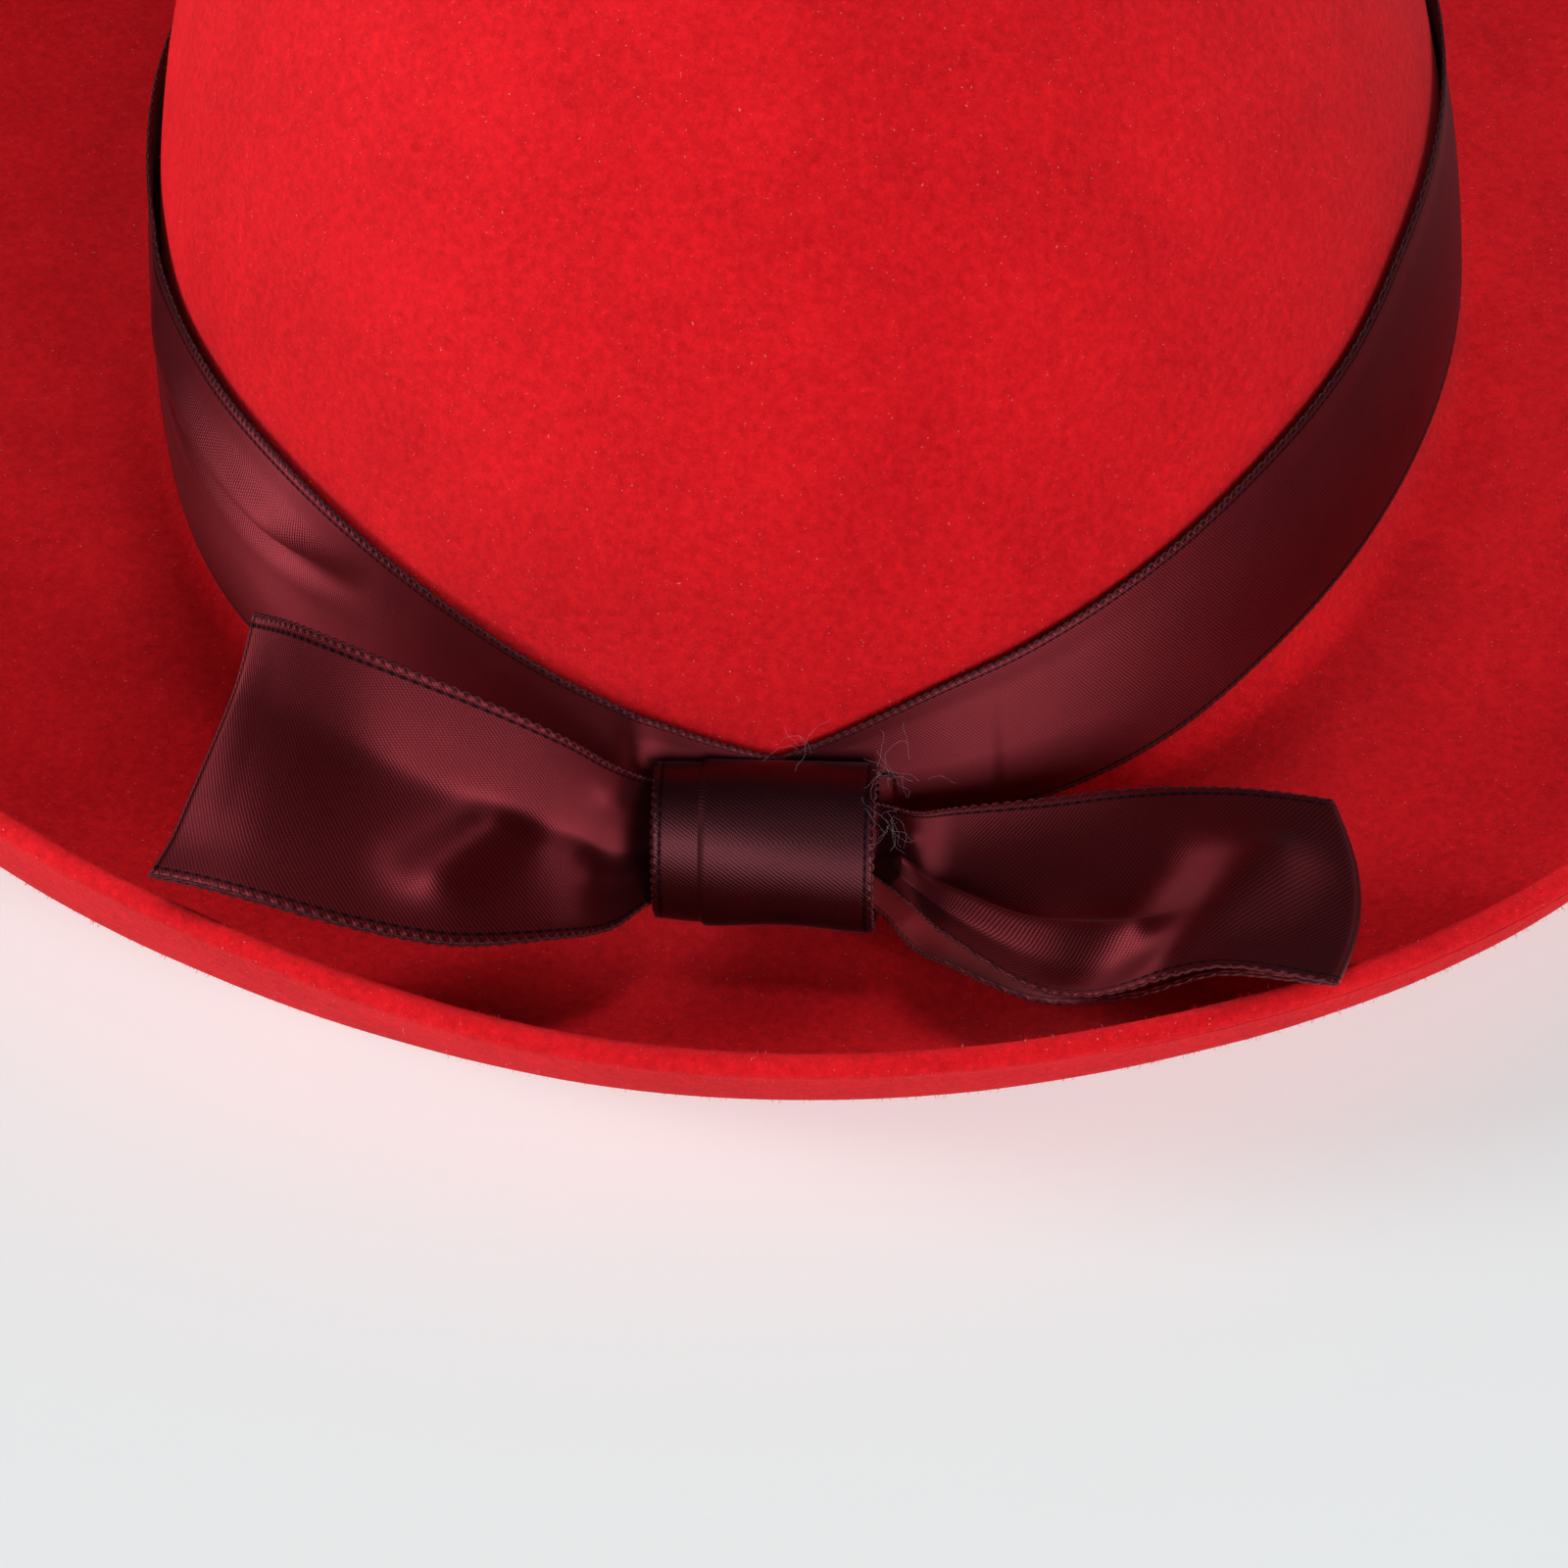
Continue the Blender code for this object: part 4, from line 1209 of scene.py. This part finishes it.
# %% [markdown]
# A pale plain floor that glows a little, as a lit paper sweep does, and soft boxes at the left, in front and
# at the front right. Two more are kept off the ribbon, as a studio does with black card: one low at the left
# and one high behind the hat light the felt only, so the satin keeps its dark folds. The inside of the front
# wall faces away from the boxes and stays dark, as it does in the photograph. The view transform is a plain
# one, because the filmic one turns this red towards orange.

# %% Floor and light
deselect_all()
bpy.ops.mesh.primitive_plane_add(size=8.0)
floor = bpy.context.object
floor.name = "floor"
pale, _, shader = new_material("pale_floor")
set_inputs(shader, {"Base Color": (0.66, 0.70, 0.70, 1.0), "Roughness": 0.9})
set_inputs(shader, {"Emission Color": (0.88, 0.90, 0.91, 1.0), "Emission Strength": 0.38})
floor.data.materials.append(pale)
BOX_AWAY, BOX_SIZE = 1.5, 0.50


def soft_box(name, turn, lift, watts, only=()):
    """A square soft box, placed by its turn round the hat and its height as an angle."""
    a, e = math.radians(turn), math.radians(lift)
    way = Vector((math.sin(a) * math.cos(e), -math.cos(a) * math.cos(e), math.sin(e)))
    light = bpy.data.lights.new(name, "AREA")
    light.shape, light.size, light.energy = "SQUARE", BOX_SIZE, watts
    box = bpy.data.objects.new(name, light)
    bpy.context.scene.collection.objects.link(box)
    box.location = way * BOX_AWAY
    box.rotation_euler = way.to_track_quat("Z", "Y").to_euler()
    if only:
        lit = bpy.data.collections.new(name + "_lights_only")
        for piece in only:
            lit.objects.link(piece)
        box.light_linking.receiver_collection = lit


FELT_PIECES = (felt, nap, rim_nap)
soft_box("left_box", -80, 22, 12.0)
soft_box("left_felt_box", -86, 18, 8.0, only=FELT_PIECES)
soft_box("front_box", 10, 26, 6.0)
soft_box("right_box", 35, 25, 10.5)
soft_box("top_box", 180, 64, 9.0, only=FELT_PIECES)
world = bpy.data.worlds.new("studio")
bpy.context.scene.world = world
world.use_nodes = True
set_inputs(world.node_tree.nodes["Background"], {"Color": (0.92, 0.96, 1.0, 1.0), "Strength": 0.05})
bpy.context.scene.view_settings.view_transform = "Standard"
print("lights:", [light.name for light in bpy.data.lights])

# %% Finish
bpy.context.view_layer.update()
